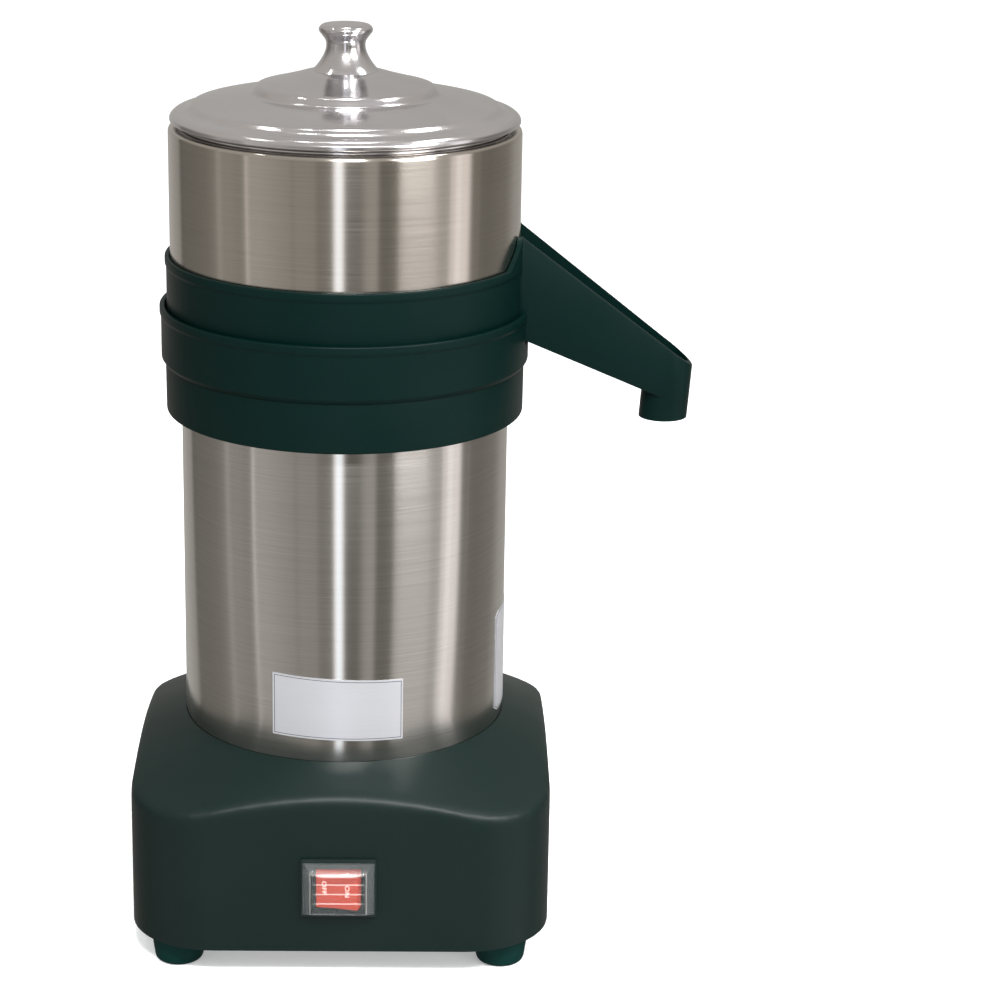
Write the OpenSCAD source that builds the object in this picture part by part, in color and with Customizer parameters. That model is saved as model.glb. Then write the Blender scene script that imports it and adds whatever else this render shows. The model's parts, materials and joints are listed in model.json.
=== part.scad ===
// Citrus juicer for a counter: a moulded base with a vertical motor in a steel casing,
// a juice bowl with an open spout, a strainer, a ribbed reamer, a steel guard and a spun lid.
// Z is up, the spout points along +X and the switch faces -Y.
// The origin is on the drive axis, in the plane that the feet stand on. All sizes in millimetres.

/* [Base housing] */
// Width and depth of the moulded base
base_w = 228; // [222:1:260]
// Radius of the base's upright corners
base_corner_r = 46; // [38:1:54]
// Height of the base's lower edge above the surface
base_lift = 16.4; // [13:0.2:24]
// Height at which the base's top meets the motor casing
shoulder_z = 115.7; // [112:0.1:140]
// Slope of the base's top, in degrees
shoulder_slope = 23.8; // [18:0.2:27]
// Radius of the crease in the middle of each side
crease_r = 20; // [8:0.5:26]
// Radius of the crease at the corners
corner_blend_r = 15; // [8:0.5:26]
// Wall of the base moulding
base_wall = 3.2; // [2.6:0.1:4]
// Thickness of the steel plate that closes the base
base_plate_t = 2; // [1.5:0.1:3]

/* [Feet] */
// Radius of each rubber foot
foot_r = 15; // [12:0.5:17]
// Rounding of a foot's lower edge
foot_edge_r = 4; // [2:0.5:6]
// Distance of a foot's centre from the base's sides
foot_inset = 26.5; // [23:0.1:30]

/* [Motor casing] */
// Radius of the steel casing
casing_r = 88.7; // [84:0.1:92]
// Sheet of the casing
casing_wall = 1.2; // [0.8:0.1:2]
// Length of casing seen between the base and the cap
casing_show_h = 173.7; // [168:0.1:220]
// Depth by which the casing stands in the base
casing_sink = 8.7; // [6:0.1:11]

/* [Motor] */
// Room between the motor's body and the casing's outside
motor_room = 23.7; // [20:0.1:26]
// Height of the stator core
stator_h = 70; // [50:1:74]
// Depth of the stator, from its outside to its bore
stator_depth = 30; // [27:0.5:32]
// Air gap between the rotor and the stator
air_gap = 0.8; // [0.5:0.1:1.2]
// Height of each end bell
bell_h = 43; // [38:1:44]
// Radius of the shaft in the bearings
shaft_r = 8.5; // [8:0.1:9]
// Radius of the shaft in the rotor
rotor_shaft_r = 10; // [9.5:0.1:11]
// Radius of the shaft above the motor
spindle_r = 7; // [6.5:0.1:7.6]
// Outer radius of the ball bearings
bearing_r = 20; // [18.5:0.5:21]
// Width of the ball bearings
bearing_w = 12; // [10:0.5:13]
// Radius of the cooling fan
fan_r = 56; // [48:1:60]

/* [Motor cap] */
// Width by which the black cap stands out from the casing
cap_over = 8.3; // [6:0.1:12]
// Height of the cap's outer band
cap_h = 27; // [22:0.5:32]
// Depth of the socket that takes the casing
cap_socket_h = 12; // [8:0.5:16]
// Draft of the cap's outer band, at its lower edge
cap_draft = 0.2; // [0:0.1:1.5]

/* [Seat ring] */
// Width by which the ring that holds the bowl stands out from the cap
seat_over = 2.2; // [1.6:0.1:5.5]
// Height of the ring
seat_h = 30.6; // [28:0.2:40]
// Thickness of the ring's upstanding lip
lip_wall = 2.2; // [1.4:0.1:2.4]
// Width by which the rims of the ring and the bowl are thickened outwards
bead_out = 0.7; // [0.3:0.1:0.8]
// Height of the thickened rims
bead_h = 4; // [2.5:0.5:6]
// Height of the bevel at the ring's foot
seat_bevel_h = 2.5; // [1:0.5:8]

/* [Juice bowl] */
// Gap between the bowl and the lip of the ring
bowl_side_gap = 1; // [0.6:0.1:2.4]
// Wall of the bowl's rim
bowl_wall = 1.8; // [1.5:0.1:2.2]
// Height of the bowl seen above the seat ring
bowl_show_h = 27; // [22:0.5:34]
// Radius of the chimney round the spindle
chimney_r = 20; // [19.5:0.1:21]
// Height of the spout's walls above the bowl's rim
spout_rise = 13.9; // [9:0.1:18]
// Fall of the spout's upper edge from the bowl to the tip
spout_fall = 73.1; // [60:0.1:80]
// Distance of the outlet's centre from the bowl
spout_len = 77.8; // [66:0.2:100]
// Width of the spout at the bowl
spout_root_w = 40.7; // [36:0.5:46]
// Outer radius of the spout's outlet
outlet_r = 13.2; // [12.6:0.1:15]
// Wall of the spout
spout_wall = 2.6; // [2:0.1:3]
// Slope of the spout's underside, in degrees
spout_under_slope = 23.7; // [18:0.1:26]
// Lean of the spout's nose away from the bowl, in degrees
outlet_lean = 4; // [0:0.5:6]
// Length of the outlet below the spout's underside
outlet_drop = 18.2; // [10:0.2:22]

/* [Strainer] */
// Thickness of the strainer's sheet
strainer_t = 1.2; // [0.8:0.1:1.5]
// Width of the strainer's slots
slot_w = 2; // [1.2:0.1:2.4]
// Depth of the strainer's basket
basket_h = 9; // [6:0.5:10]

/* [Reamer] */
// Radius of the reamer at its base
reamer_r = 38; // [32:0.5:44]
// Height of the reamer
reamer_h = 68; // [60:0.5:69]
// Number of ribs on the reamer
rib_n = 10; // [6:1:14]
// Height of the ribs at the reamer's base
rib_h = 4; // [2:0.5:5]
// Height of the six-sided spigot that drives the reamer
spigot_h = 26; // [20:0.5:27]

/* [Steel guard] */
// Gap between the steel guard and the bowl's rim
guard_gap = 0.3; // [0.3:0.1:1.5]
// Sheet of the steel guard
guard_wall = 0.9; // [0.6:0.1:1.1]
// Height of the guard seen above the bowl's rim
guard_show_h = 69; // [66:0.5:90]
// Radius of the guard's rolled upper edge
guard_edge_r = 3; // [2:0.5:4]

/* [Lid] */
// Distance of the lid's edge from the guard's side
lid_inset = 0.9; // [0.5:0.1:3.5]
// Height of the lid's dome, from its rim to the knob
dome_h = 27; // [24:0.5:34]
// Sheet of the lid
lid_t = 1.4; // [1:0.1:1.8]
// Radius of the knob's flared foot
knob_foot_r = 17.8; // [15:0.1:20]
// Height of the knob
knob_h = 24.6; // [20:0.5:32]

/* [Switch] */
// Width of the switch's frame
switch_w = 40.6; // [38:0.2:48]
// Height of the switch's frame
switch_h = 33.5; // [32:0.5:40]
// Height of the switch's centre above the surface
switch_z = 54; // [46:1:62]
// Width of the rocker
rocker_w = 24.4; // [20:0.2:26]
// Height of the rocker
rocker_h = 22; // [18:0.5:23]
// Tilt of the rocker each way from the middle, in degrees
rocker_tilt = 11; // [8:0.5:13]
// Depth of the clear splash cover
cover_h = 7.5; // [7:0.5:12]

/* [Hidden] */

// Clearances: a running fit, a fixed fit, and the seat of a piece that lifts off
run_gap = 0.05;
fit_gap = 0.2;
seat_gap = 0.3;
// Overrun of every cut
cut = 1;
// Fineness of round shapes
$fn = 96;

// Radii that follow one another, from the casing outwards and up
motor_r = casing_r - motor_room;
stator_bore_r = motor_r - stator_depth;
cap_r = casing_r + cap_over;
seat_r = cap_r + seat_over;
bowl_r = seat_r - lip_wall - bowl_side_gap;
guard_r = bowl_r - bowl_wall - guard_gap;
lid_r = guard_r - lid_inset;
outlet_x = bowl_r + spout_len;

// Base: places and inner sizes
plate_recess = 1;
base_plate_z = base_lift + plate_recess;
base_top_z = base_plate_z + base_plate_t;
half_w = base_w / 2;
casing_z = shoulder_z - casing_sink;
motor_plate_t = 3;
ledge_z = casing_z - motor_plate_t;
ledge_t = 4;
ledge_w = 20.7;
ledge_in_r = casing_r - ledge_w;
collar_r = casing_r + fit_gap + base_wall;
plate_screw_r = 2;
plate_screw_inset = 10;
plate_screw_x = half_w - base_corner_r - plate_screw_inset;
plate_screw_head_r = 3.8;
plate_screw_head_h = 1.6;
plate_boss_r = 5.4;
plate_boss_h = 26;
plate_boss_y = half_w - base_wall - fit_gap - plate_screw_head_r;
plate_screw_depth = 14;
vent_n = 7;
vent_pitch = 9;
vent_len = 76;
vent_w = 4;

// Feet and their fixings
foot_h = base_plate_z;
foot_xy = half_w - foot_inset;
foot_draft = 2.2;
foot_neck_w = 2.5;
foot_pocket_r = 6;
foot_pocket_h = 9;
foot_screw_r = 2;
foot_head_r = 3.9;
foot_head_h = 2.6;
foot_nut_r = 4.05;
foot_nut_h = 3.2;
foot_screw_end = 1.2;

// Cord inlet
inlet_boss_gap = 28;
inlet_x = inlet_boss_gap - plate_screw_x;
inlet_z = 40;
inlet_r = 8;
inlet_bore_r = 4.2;
inlet_flange_r = 10.6;
inlet_flange_t = 2;
inlet_nose_h = 8;
inlet_nose_r = 6.2;

// Switch
switch_flange_t = 1.6;
switch_box_w = 34;
switch_box_h = 27;
switch_box_d = 24;
switch_floor_d = 12;
rocker_gap = 0.3;
rocker_pivot_d = 3;
rocker_end_out = 2.9;
rocker_mid_out = 1.5;
rocker_back_d = 8;
rocker_back_w = 8;
rocker_end_d = 2;
rocker_pin_r = 1.5;
rocker_pin_l = 1.7;
rocker_swing_r = rocker_w / 2;
cover_w = 38.7;
cover_d = 30.3;
cover_bevel = 3.2;
cover_t = 0.9;
cover_rib_n = 4;
cover_rib_h = 0.5;
cover_rib_w = 1;
tab_w = 6.3;
tab_t = 0.8;
tab_l = 9;

// Electrical pieces inside the base
cap_can_r = 17.5;
cap_can_l = 62;
cap_can_x = 34;
cap_can_inset = 52;
cap_can_y = half_w - cap_can_inset;
cap_can_gap = 1.5;
cap_pin_r = 2.4;
cap_pin_l = 5;
clip_w = 14;
clip_t = 1.2;
clip_foot_l = 12;
block_l = 44;
block_w = 18;
block_h = 15;
block_x = -42;
block_inset = 66;
block_y = half_w - block_inset;
block_n = 4;
block_hole_r = 2.6;

// Motor stack
bell_z = casing_z;
bell_t = 4;
bell_wall = 4;
bell_bore_r = 12;
bearing_wall = 4;
bell_boss_r = 5;
bell_window_w = 24;
bell_window_h = 16;
bell_window_n = 8;
air_hole_r = 7;
air_ring_r = 38;
core_z = bell_z + bell_h;
core_top_z = core_z + stator_h;
upper_bell_top_z = core_top_z + bell_h;
bolt_r = 2.5;
bolt_head_r = 4.6;
bolt_head_h = 3.5;
bolt_inset = 7.25;
bolt_ring_r = motor_r - bolt_inset;
winding_h = 15;
winding_in_gap = 3;
winding_out_gap = 14;
winding_in_r = stator_bore_r + winding_in_gap;
winding_out_r = motor_r - winding_out_gap;
winding_round_r = 5;
lower_bearing_z = bell_z + bell_t;
upper_bearing_z = upper_bell_top_z - bell_t - bearing_w;
race_t = 3;
ball_n = 8;
ball_r = 2.6;
ball_pitch_r = (shaft_r + bearing_r) / 2;
rotor_r = stator_bore_r - air_gap;
rotor_ring_h = 6;
rotor_ring_inset = 3.2;
rotor_ring_r = rotor_r - rotor_ring_inset;
rotor_end_gap = 1;
clip_ring_t = 1.2;
clip_ring_out = 2.4;
clip_groove = 0.8;
slot_n = 24;
stator_slot_w = 4.4;
stator_slot_d = 13;
stator_mouth_w = 1.6;
stator_tip_h = 2;

// Fan and lower end of the shaft
fan_h = 14;
fan_gap = 4;
fan_z = ledge_z - fan_gap - fan_h;
fan_disc_t = 1.6;
fan_hub_r = 14;
fan_blade_n = 10;
fan_blade_t = 1.6;
fan_blade_in_r = 20;
fan_blade_turn = 20;
shaft_tail = 3;
shaft_z = fan_z - shaft_tail;

// Tie rods between the base and the cap
tie_r = 2.5;
tie_inset = 11.7;
tie_ring_r = casing_r - tie_inset;
tie_n = 4;
tie_start = 45;
tie_nut_r = 4.7;
tie_nut_h = 4;
tie_boss_r = 6;
tie_boss_h = 14;
tie_end_gap = 2;

// Cap and seat ring
cap_z = shoulder_z + casing_show_h;
cap_top_z = cap_z + cap_h;
casing_top_z = cap_z + cap_socket_h;
cap_deck_t = 4;
cap_deck_z = cap_top_z - cap_deck_t;
cap_ledge_w = 3;
cap_hub_r = 16;
cap_hub_h = 13.5;
cap_hub_drop = 8;
seal_r = 13;
seal_h = 7;
seal_lip_gap = 1;
seat_top_z = cap_top_z + seat_h;
seat_foot_gap = 0.6;
seat_foot_r = cap_r + seat_foot_gap;
seat_wall = 3;
seat_deck_w = 19.2;
seat_in_r = seat_r - seat_deck_w;
seat_deck_h = 11;
seat_deck_z = cap_top_z + seat_deck_h;
seat_deck_t = 3.5;
seat_notch_gap = 1;
bead_slope_h = 1.5;
seat_screw_r = 2;
seat_screw_head_r = 3.6;
seat_screw_head_h = 2;
seat_boss_r = 4.2;
seat_screw_ring_r = (seat_in_r + seat_wall + seat_r - seat_wall) / 2;
seat_screw_n = 4;
seat_screw_start = 45;

// Juice bowl
bowl_z = seat_deck_z + seat_gap;
rim_z = seat_top_z + bowl_show_h;
bowl_floor_t = 2.6;
bowl_floor_lift = 6.7;
bowl_floor_z = bowl_z + bowl_floor_lift;
bowl_floor_rise = 3.2;
bowl_foot_w = 8;
bowl_ledge_w = 3.1;
bowl_ledge_h = 14;
bowl_ledge_z = bowl_floor_z + bowl_ledge_h;
bowl_in_r = bowl_r - bowl_wall;
bowl_low_r = bowl_in_r - bowl_ledge_w;
chimney_wall = 2.5;
chimney_below = 14;
chimney_top_z = rim_z - chimney_below;

// Spout
spout_top_z = rim_z + spout_rise;
outlet_bore_r = outlet_r - spout_wall;
spout_under_z = bowl_floor_z - spout_wall - (bowl_floor_t - spout_wall) / 2;
outlet_back_z = spout_under_z - (outlet_x - outlet_r - bowl_r) * tan(spout_under_slope);
outlet_z = outlet_back_z - outlet_drop;
spout_reach = outlet_x + outlet_r + (spout_top_z - spout_fall - outlet_z) * tan(outlet_lean);
ramp_head_w = 1.2;
ramp_shoulder_w = 2.4;
ramp_shoulder_h = 3.6;
ramp_run = 18.5;

// Strainer
strainer_flange_z = bowl_ledge_z + seat_gap;
strainer_r = bowl_in_r - seat_gap;
basket_gap = 1.3;
basket_r = bowl_low_r - basket_gap;
basket_z = strainer_flange_z + strainer_t - basket_h;
strainer_collar_in_r = chimney_r + basket_gap;
strainer_collar_h = 17;
slot_rings = 3;
slot_row_gap = 4.4;
slot_pitch = 7.5;

// Reamer hub on the spindle
hub_lift = 2;
hub_z = chimney_top_z + hub_lift;
hub_disc_t = 3;
hub_disc_r = 30;
hub_skirt_t = 2;
hub_skirt_h = 12;
hub_cap_t = 3.5;
spigot_r = 14;
drive_r = 6;
drive_flat = 9;
drive_flat_h = 16;
hub_top_z = hub_z + hub_disc_t + spigot_h;
spindle_top_z = hub_top_z - hub_cap_t - seat_gap;
spindle_shoulder_z = hub_z - seat_gap;

// Reamer
reamer_z = hub_z + hub_disc_t + seat_gap;
reamer_rings = 13;
reamer_steps = 6;
reamer_round_share = 0.72;
reamer_tip_share = 0.955;
reamer_lip_h = 3;

// Guard
guard_z = strainer_flange_z + strainer_t + seat_gap;
guard_top_z = rim_z + guard_show_h;
guard_mouth_w = 7.7;
guard_mouth_r = guard_r - guard_mouth_w;

// Lid
lid_lift = 2.3;
lid_z = guard_top_z + lid_lift;
lid_bead_r = 2.1;
lid_skirt_t = 1.2;
lid_skirt_h = 7;
lid_skirt_gap = 0.6;
lid_skirt_r = guard_mouth_r - lid_skirt_gap;
lid_rest_w = 2.6;
knob_z = lid_z + dome_h;
knob_screw_r = 2.5;
knob_screw_l = 14;
knob_head_r = 4.5;
knob_head_h = 2;
washer_r = 8;
washer_t = 1;
lid_shares = [
    [0.972, 0.125], [0.955, 0.195], [0.935, 0.222], [0.912, 0.238], [0.893, 0.285], [0.875, 0.35],
    [0.84, 0.39], [0.75, 0.455], [0.65, 0.515], [0.58, 0.552], [0.545, 0.575], [0.522, 0.625],
    [0.5, 0.7], [0.46, 0.755], [0.38, 0.83], [0.3, 0.905], [0.24, 0.965], [0.192, 1]
];
knob_shares = [
    [1, 0], [0.83, 0.13], [0.66, 0.33], [0.585, 0.5], [0.6, 0.64], [0.7, 0.75],
    [0.79, 0.83], [0.792, 0.9], [0.72, 0.965], [0.6, 0.99], [0.3, 1]
];

// Points of a smooth curve through a list of points, with n steps in each span
function spline(p, n) = [
    for (i = [0 : len(p) - 2], k = [0 : n - 1])
        let (a = p[max(i - 1, 0)], b = p[i], c = p[i + 1], d = p[min(i + 2, len(p) - 1)], t = k / n)
            b + t / 2 * (c - a + t * (2 * a - 5 * b + 4 * c - d + t * (3 * b - a - 3 * c + d))),
    p[len(p) - 1]
];
function scaled(p, rr, hh) = [for (q = p) [q[0] * rr, q[1] * hh]];
function flipped(p) = [for (i = [len(p) - 1 : -1 : 0]) p[i]];
function top_z(r) = shoulder_z - tan(shoulder_slope) * (r - casing_r);

module tube(r_out, r_in, h) {
    difference() {
        cylinder(r = r_out, h = h);
        translate([0, 0, -cut]) cylinder(r = r_in, h = h + 2 * cut);
    }
}
module ring_of(n, r, start = 0) {
    for (i = [0 : n - 1]) rotate(start + i * 360 / n) translate([r, 0, 0]) children();
}
module rounded_square(w, r) {
    for (a = [0, 90]) rotate(a) square([w, w - 2 * r], center = true);
    for (x = [-1, 1], y = [-1, 1]) translate([x * (w / 2 - r), y * (w / 2 - r)]) circle(r = r);
}
module at_feet() {
    for (x = [-1, 1], y = [-1, 1]) translate([x * foot_xy, y * foot_xy, 0]) children();
}
module at_plate_screws() {
    for (x = [-1, 1], y = [-1, 1]) translate([x * plate_screw_x, y * plate_boss_y, 0]) children();
}

// Base: a rounded square whose upright walls meet a cone of revolution in arched creases.
// Each column of points is one upright section: wall, crease arc, slope.
base_side_n = 12;
base_turn_n = 10;
crease_n = 6;
slope_under_w = 18.7;
slope_in_r = casing_r - slope_under_w;

function quarter(w, r) = concat(
    [for (k = [0 : base_side_n - 1]) [w, (w - r) * (2 * k / base_side_n - 1)]],
    [for (k = [0 : base_turn_n - 1]) let (a = 90 * k / base_turn_n)
        [w - r + r * cos(a), w - r + r * sin(a)]]
);
function turned(p, a) = [for (q = p) [q[0] * cos(a) - q[1] * sin(a), q[0] * sin(a) + q[1] * cos(a)]];
function base_outline(w, r) = [for (a = [0 : 90 : 270]) each turned(quarter(w, r), a)];

function base_column(p, w, drop, shrink, z0) =
    let (
        r = norm(p),
        far = (half_w - base_corner_r) * sqrt(2) + base_corner_r,
        share = min(1, max(0, (r - w) / (far - half_w))),
        blend = crease_r + (corner_blend_r - crease_r) * share - shrink,
        turn = 90 - shoulder_slope,
        t = blend * tan(turn / 2),
        zc = top_z(r) - drop
    ) concat(
        [[r, z0]],
        [for (k = [0 : crease_n])
            [r - blend + blend * cos(turn * k / crease_n), zc - t + blend * sin(turn * k / crease_n)]],
        [[slope_in_r, top_z(slope_in_r) - drop]]
    );

module base_form(inset, z0) {
    drop = inset / cos(shoulder_slope);
    w = half_w - inset;
    outline = base_outline(w, base_corner_r - inset);
    n = len(outline);
    rings = crease_n + 3;
    columns = [for (p = outline) base_column(p, w, drop, inset, z0)];
    points = [for (j = [0 : rings - 1], i = [0 : n - 1])
        let (u = outline[i] / norm(outline[i]), c = columns[i][j]) [u[0] * c[0], u[1] * c[0], c[1]]];
    centres = [[0, 0, z0], [0, 0, top_z(slope_in_r) - drop]];
    sides = [for (j = [0 : rings - 2], i = [0 : n - 1]) let (k = (i + 1) % n)
        each [[j * n + i, (j + 1) * n + i, (j + 1) * n + k], [j * n + i, (j + 1) * n + k, j * n + k]]];
    foot = [for (i = [0 : n - 1]) [i, (i + 1) % n, rings * n]];
    head = [for (i = [0 : n - 1]) [(rings - 1) * n + i, rings * n + 1, (rings - 1) * n + (i + 1) % n]];
    polyhedron(points = concat(points, centres), faces = concat(sides, foot, head), convexity = 6);
}

module base_housing() {
    color([0.09, 0.11, 0.1]) difference() {
        union() {
            difference() {
                base_form(0, base_lift);
                base_form(base_wall, base_lift - cut);
            }
            translate([0, 0, ledge_z - ledge_t])
                cylinder(r = collar_r, h = top_z(collar_r) - base_wall / 2 - ledge_z + ledge_t);
            at_plate_screws() translate([0, 0, base_top_z]) cylinder(r = plate_boss_r, h = plate_boss_h);
        }
        translate([0, 0, ledge_z - ledge_t - cut]) cylinder(r = ledge_in_r, h = ledge_t + 2 * cut);
        translate([0, 0, ledge_z]) cylinder(r = casing_r + fit_gap, h = shoulder_z);
        ring_of(tie_n, tie_ring_r, tie_start)
            translate([0, 0, ledge_z - ledge_t - cut]) cylinder(r = tie_r + fit_gap, h = ledge_t + 2 * cut);
        at_plate_screws() translate([0, 0, base_top_z - cut])
            cylinder(r = plate_screw_r + run_gap, h = plate_screw_depth + cut);
        translate([0, -half_w, switch_z])
            cube([switch_box_w + 2 * fit_gap, 4 * base_wall, switch_box_h + 2 * fit_gap], center = true);
        translate([inlet_x, half_w, inlet_z]) rotate([90, 0, 0])
            cylinder(r = inlet_r, h = 4 * base_wall, center = true);
    }
}

module base_plate() {
    color([0.6, 0.6, 0.6]) translate([0, 0, base_plate_z]) linear_extrude(base_plate_t) difference() {
        rounded_square(base_w - 2 * base_wall - 2 * seat_gap, base_corner_r - base_wall - seat_gap);
        for (x = [-1, 1], y = [-1, 1]) {
            translate([x * foot_xy, y * foot_xy]) circle(r = foot_screw_r + fit_gap);
            translate([x * plate_screw_x, y * plate_boss_y]) circle(r = plate_screw_r + fit_gap);
        }
        for (i = [0 : vent_n - 1]) translate([0, (i - (vent_n - 1) / 2) * vent_pitch]) {
            square([vent_len - vent_w, vent_w], center = true);
            for (x = [-1, 1]) translate([x * (vent_len - vent_w) / 2, 0]) circle(r = vent_w / 2);
        }
    }
}

module base_plate_screws() {
    color([0.7, 0.7, 0.72]) at_plate_screws() {
        translate([0, 0, base_plate_z - plate_screw_head_h])
            cylinder(r = plate_screw_head_r, h = plate_screw_head_h);
        translate([0, 0, base_plate_z - cut / 2])
            cylinder(r = plate_screw_r, h = base_plate_t + plate_screw_depth - cut / 2);
    }
}

module foot() {
    color([0.05, 0.05, 0.05]) difference() {
        rotate_extrude() difference() {
            union() {
                polygon([[0, 0], [foot_r - foot_draft - foot_edge_r, 0], [foot_r - foot_draft, foot_edge_r],
                    [foot_r, base_lift - seat_gap], [foot_r - foot_neck_w, base_lift - seat_gap],
                    [foot_r - foot_neck_w, foot_h], [0, foot_h]]);
                translate([foot_r - foot_draft - foot_edge_r, foot_edge_r]) circle(r = foot_edge_r);
            }
            translate([-foot_r, 0]) square([foot_r, foot_h]);
        }
        translate([0, 0, -cut]) cylinder(r = foot_pocket_r, h = foot_pocket_h + cut);
        translate([0, 0, foot_pocket_h - cut]) cylinder(r = foot_screw_r + fit_gap, h = foot_h);
    }
}
module foot_front_left() { translate([-foot_xy, -foot_xy, 0]) foot(); }
module foot_front_right() { translate([foot_xy, -foot_xy, 0]) foot(); }
module foot_rear_left() { translate([-foot_xy, foot_xy, 0]) foot(); }
module foot_rear_right() { translate([foot_xy, foot_xy, 0]) foot(); }

module foot_screws() {
    color([0.7, 0.7, 0.72]) at_feet() {
        translate([0, 0, foot_pocket_h - foot_head_h]) cylinder(r = foot_head_r, h = foot_head_h);
        translate([0, 0, foot_pocket_h - cut])
            cylinder(r = foot_screw_r, h = base_top_z + foot_nut_h + foot_screw_end - foot_pocket_h + cut);
    }
}

module foot_nuts() {
    color([0.7, 0.7, 0.72]) at_feet() translate([0, 0, base_top_z]) difference() {
        cylinder(r = foot_nut_r, h = foot_nut_h, $fn = 6);
        translate([0, 0, -cut]) cylinder(r = foot_screw_r + run_gap, h = foot_nut_h + 2 * cut);
    }
}

module cord_grommet() {
    color([0.05, 0.05, 0.05]) translate([inlet_x, half_w, inlet_z]) rotate([-90, 0, 0]) rotate_extrude()
        polygon([
            [inlet_bore_r, -base_wall - inlet_flange_t], [inlet_flange_r, -base_wall - inlet_flange_t],
            [inlet_flange_r, -base_wall], [inlet_r - run_gap, -base_wall], [inlet_r - run_gap, 0],
            [inlet_flange_r, 0], [inlet_flange_r, inlet_flange_t], [inlet_r, inlet_flange_t],
            [inlet_nose_r, inlet_flange_t + inlet_nose_h], [inlet_bore_r, inlet_flange_t + inlet_nose_h]
        ]);
}

// Switch: the depth axis points out of the front face
module on_front() {
    translate([0, -half_w, switch_z]) rotate([90, 0, 0]) children();
}

module switch_body() {
    color([0.06, 0.06, 0.06]) on_front() difference() {
        union() {
            translate([-switch_w / 2, -switch_h / 2, 0]) cube([switch_w, switch_h, switch_flange_t]);
            translate([-switch_box_w / 2, -switch_box_h / 2, -switch_box_d])
                cube([switch_box_w, switch_box_h, switch_box_d + cut]);
        }
        translate([0, 0, switch_flange_t - switch_floor_d]) linear_extrude(switch_floor_d + cut)
            square([2 * (rocker_swing_r + rocker_gap), rocker_h + 2 * rocker_gap], center = true);
        translate([0, 0, switch_flange_t - rocker_pivot_d]) rotate([90, 0, 0])
            cylinder(r = rocker_pin_r + run_gap, h = rocker_h + 2 * (rocker_pin_l + rocker_gap),
                center = true);
    }
}

module rocker() {
    color([0.85, 0.13, 0.08]) on_front() translate([0, 0, switch_flange_t - rocker_pivot_d])
        rotate([0, -rocker_tilt, 0]) rotate([90, 0, 0]) {
            linear_extrude(rocker_h, center = true) intersection() {
                circle(r = rocker_swing_r);
                polygon([
                    [-rocker_w, rocker_end_out + rocker_pivot_d], [0, rocker_mid_out + rocker_pivot_d],
                    [rocker_w, rocker_end_out + rocker_pivot_d], [rocker_w, rocker_end_d],
                    [rocker_back_w / 2, rocker_pivot_d - rocker_back_d],
                    [-rocker_back_w / 2, rocker_pivot_d - rocker_back_d], [-rocker_w, rocker_end_d]
                ]);
            }
            cylinder(r = rocker_pin_r, h = rocker_h + 2 * rocker_pin_l, center = true);
        }
}

module cover_block(inset, h) {
    w = cover_w - 2 * inset;
    d = cover_d - 2 * inset;
    hull() {
        translate([0, 0, -cut * sign(inset)]) linear_extrude(cut) square([w, d], center = true);
        translate([0, 0, h - cut]) linear_extrude(cut)
            square([w - 2 * cover_bevel, d - 2 * cover_bevel], center = true);
    }
}
module switch_cover() {
    color([0.85, 0.87, 0.88, 0.35]) on_front() translate([0, 0, switch_flange_t]) {
        difference() {
            cover_block(0, cover_h);
            cover_block(cover_t, cover_h - cover_t);
        }
        for (i = [0 : cover_rib_n - 1])
            translate([0, (i - (cover_rib_n - 1) / 2) * (cover_d - 2 * cover_bevel) / cover_rib_n, cover_h])
                cube([cover_w - 2 * cover_bevel, cover_rib_w, 2 * cover_rib_h], center = true);
    }
}

module switch_terminals() {
    color([0.8, 0.65, 0.3]) on_front() for (x = [-1, 1], y = [-1, 1])
        translate([x * switch_box_w / 4, y * switch_box_h / 4, -switch_box_d - tab_l / 2])
            cube([tab_t, tab_w, tab_l], center = true);
}

module capacitor() {
    color([0.85, 0.85, 0.82]) translate([cap_can_x, cap_can_y, base_top_z + cap_can_gap + cap_can_r])
        rotate([0, 90, 0]) {
            cylinder(r = cap_can_r, h = cap_can_l, center = true);
            for (y = [-1, 1]) translate([0, y * cap_can_r / 2, -cap_can_l / 2 - cap_pin_l])
                cylinder(r = cap_pin_r, h = cap_pin_l + cut);
        }
}

module capacitor_clip() {
    in_r = cap_can_r + run_gap;
    out_r = in_r + clip_t;
    h = cap_can_gap + cap_can_r;
    color([0.7, 0.7, 0.72]) translate([cap_can_x, cap_can_y, base_top_z]) rotate([90, 0, 90])
        linear_extrude(clip_w, center = true) {
            difference() {
                union() {
                    translate([0, h]) circle(r = out_r);
                    translate([-out_r, 0]) square([2 * out_r, h]);
                }
                translate([0, h]) circle(r = in_r);
                translate([-in_r, -cut]) square([2 * in_r, h + cut]);
            }
            for (x = [-1, 1]) translate([x * (in_r + (clip_t + clip_foot_l) / 2), clip_t / 2])
                square([clip_foot_l + clip_t, clip_t], center = true);
        }
}

module terminal_block() {
    color([0.9, 0.9, 0.88]) translate([block_x, block_y, base_top_z]) difference() {
        translate([-block_l / 2, -block_w / 2, 0]) cube([block_l, block_w, block_h]);
        for (i = [0 : block_n - 1])
            translate([(i - (block_n - 1) / 2) * block_l / block_n, 0, block_h / 2]) {
                rotate([90, 0, 0]) cylinder(r = block_hole_r, h = block_w + 2 * cut, center = true);
                cylinder(r = block_hole_r, h = block_h);
            }
    }
}

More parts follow.
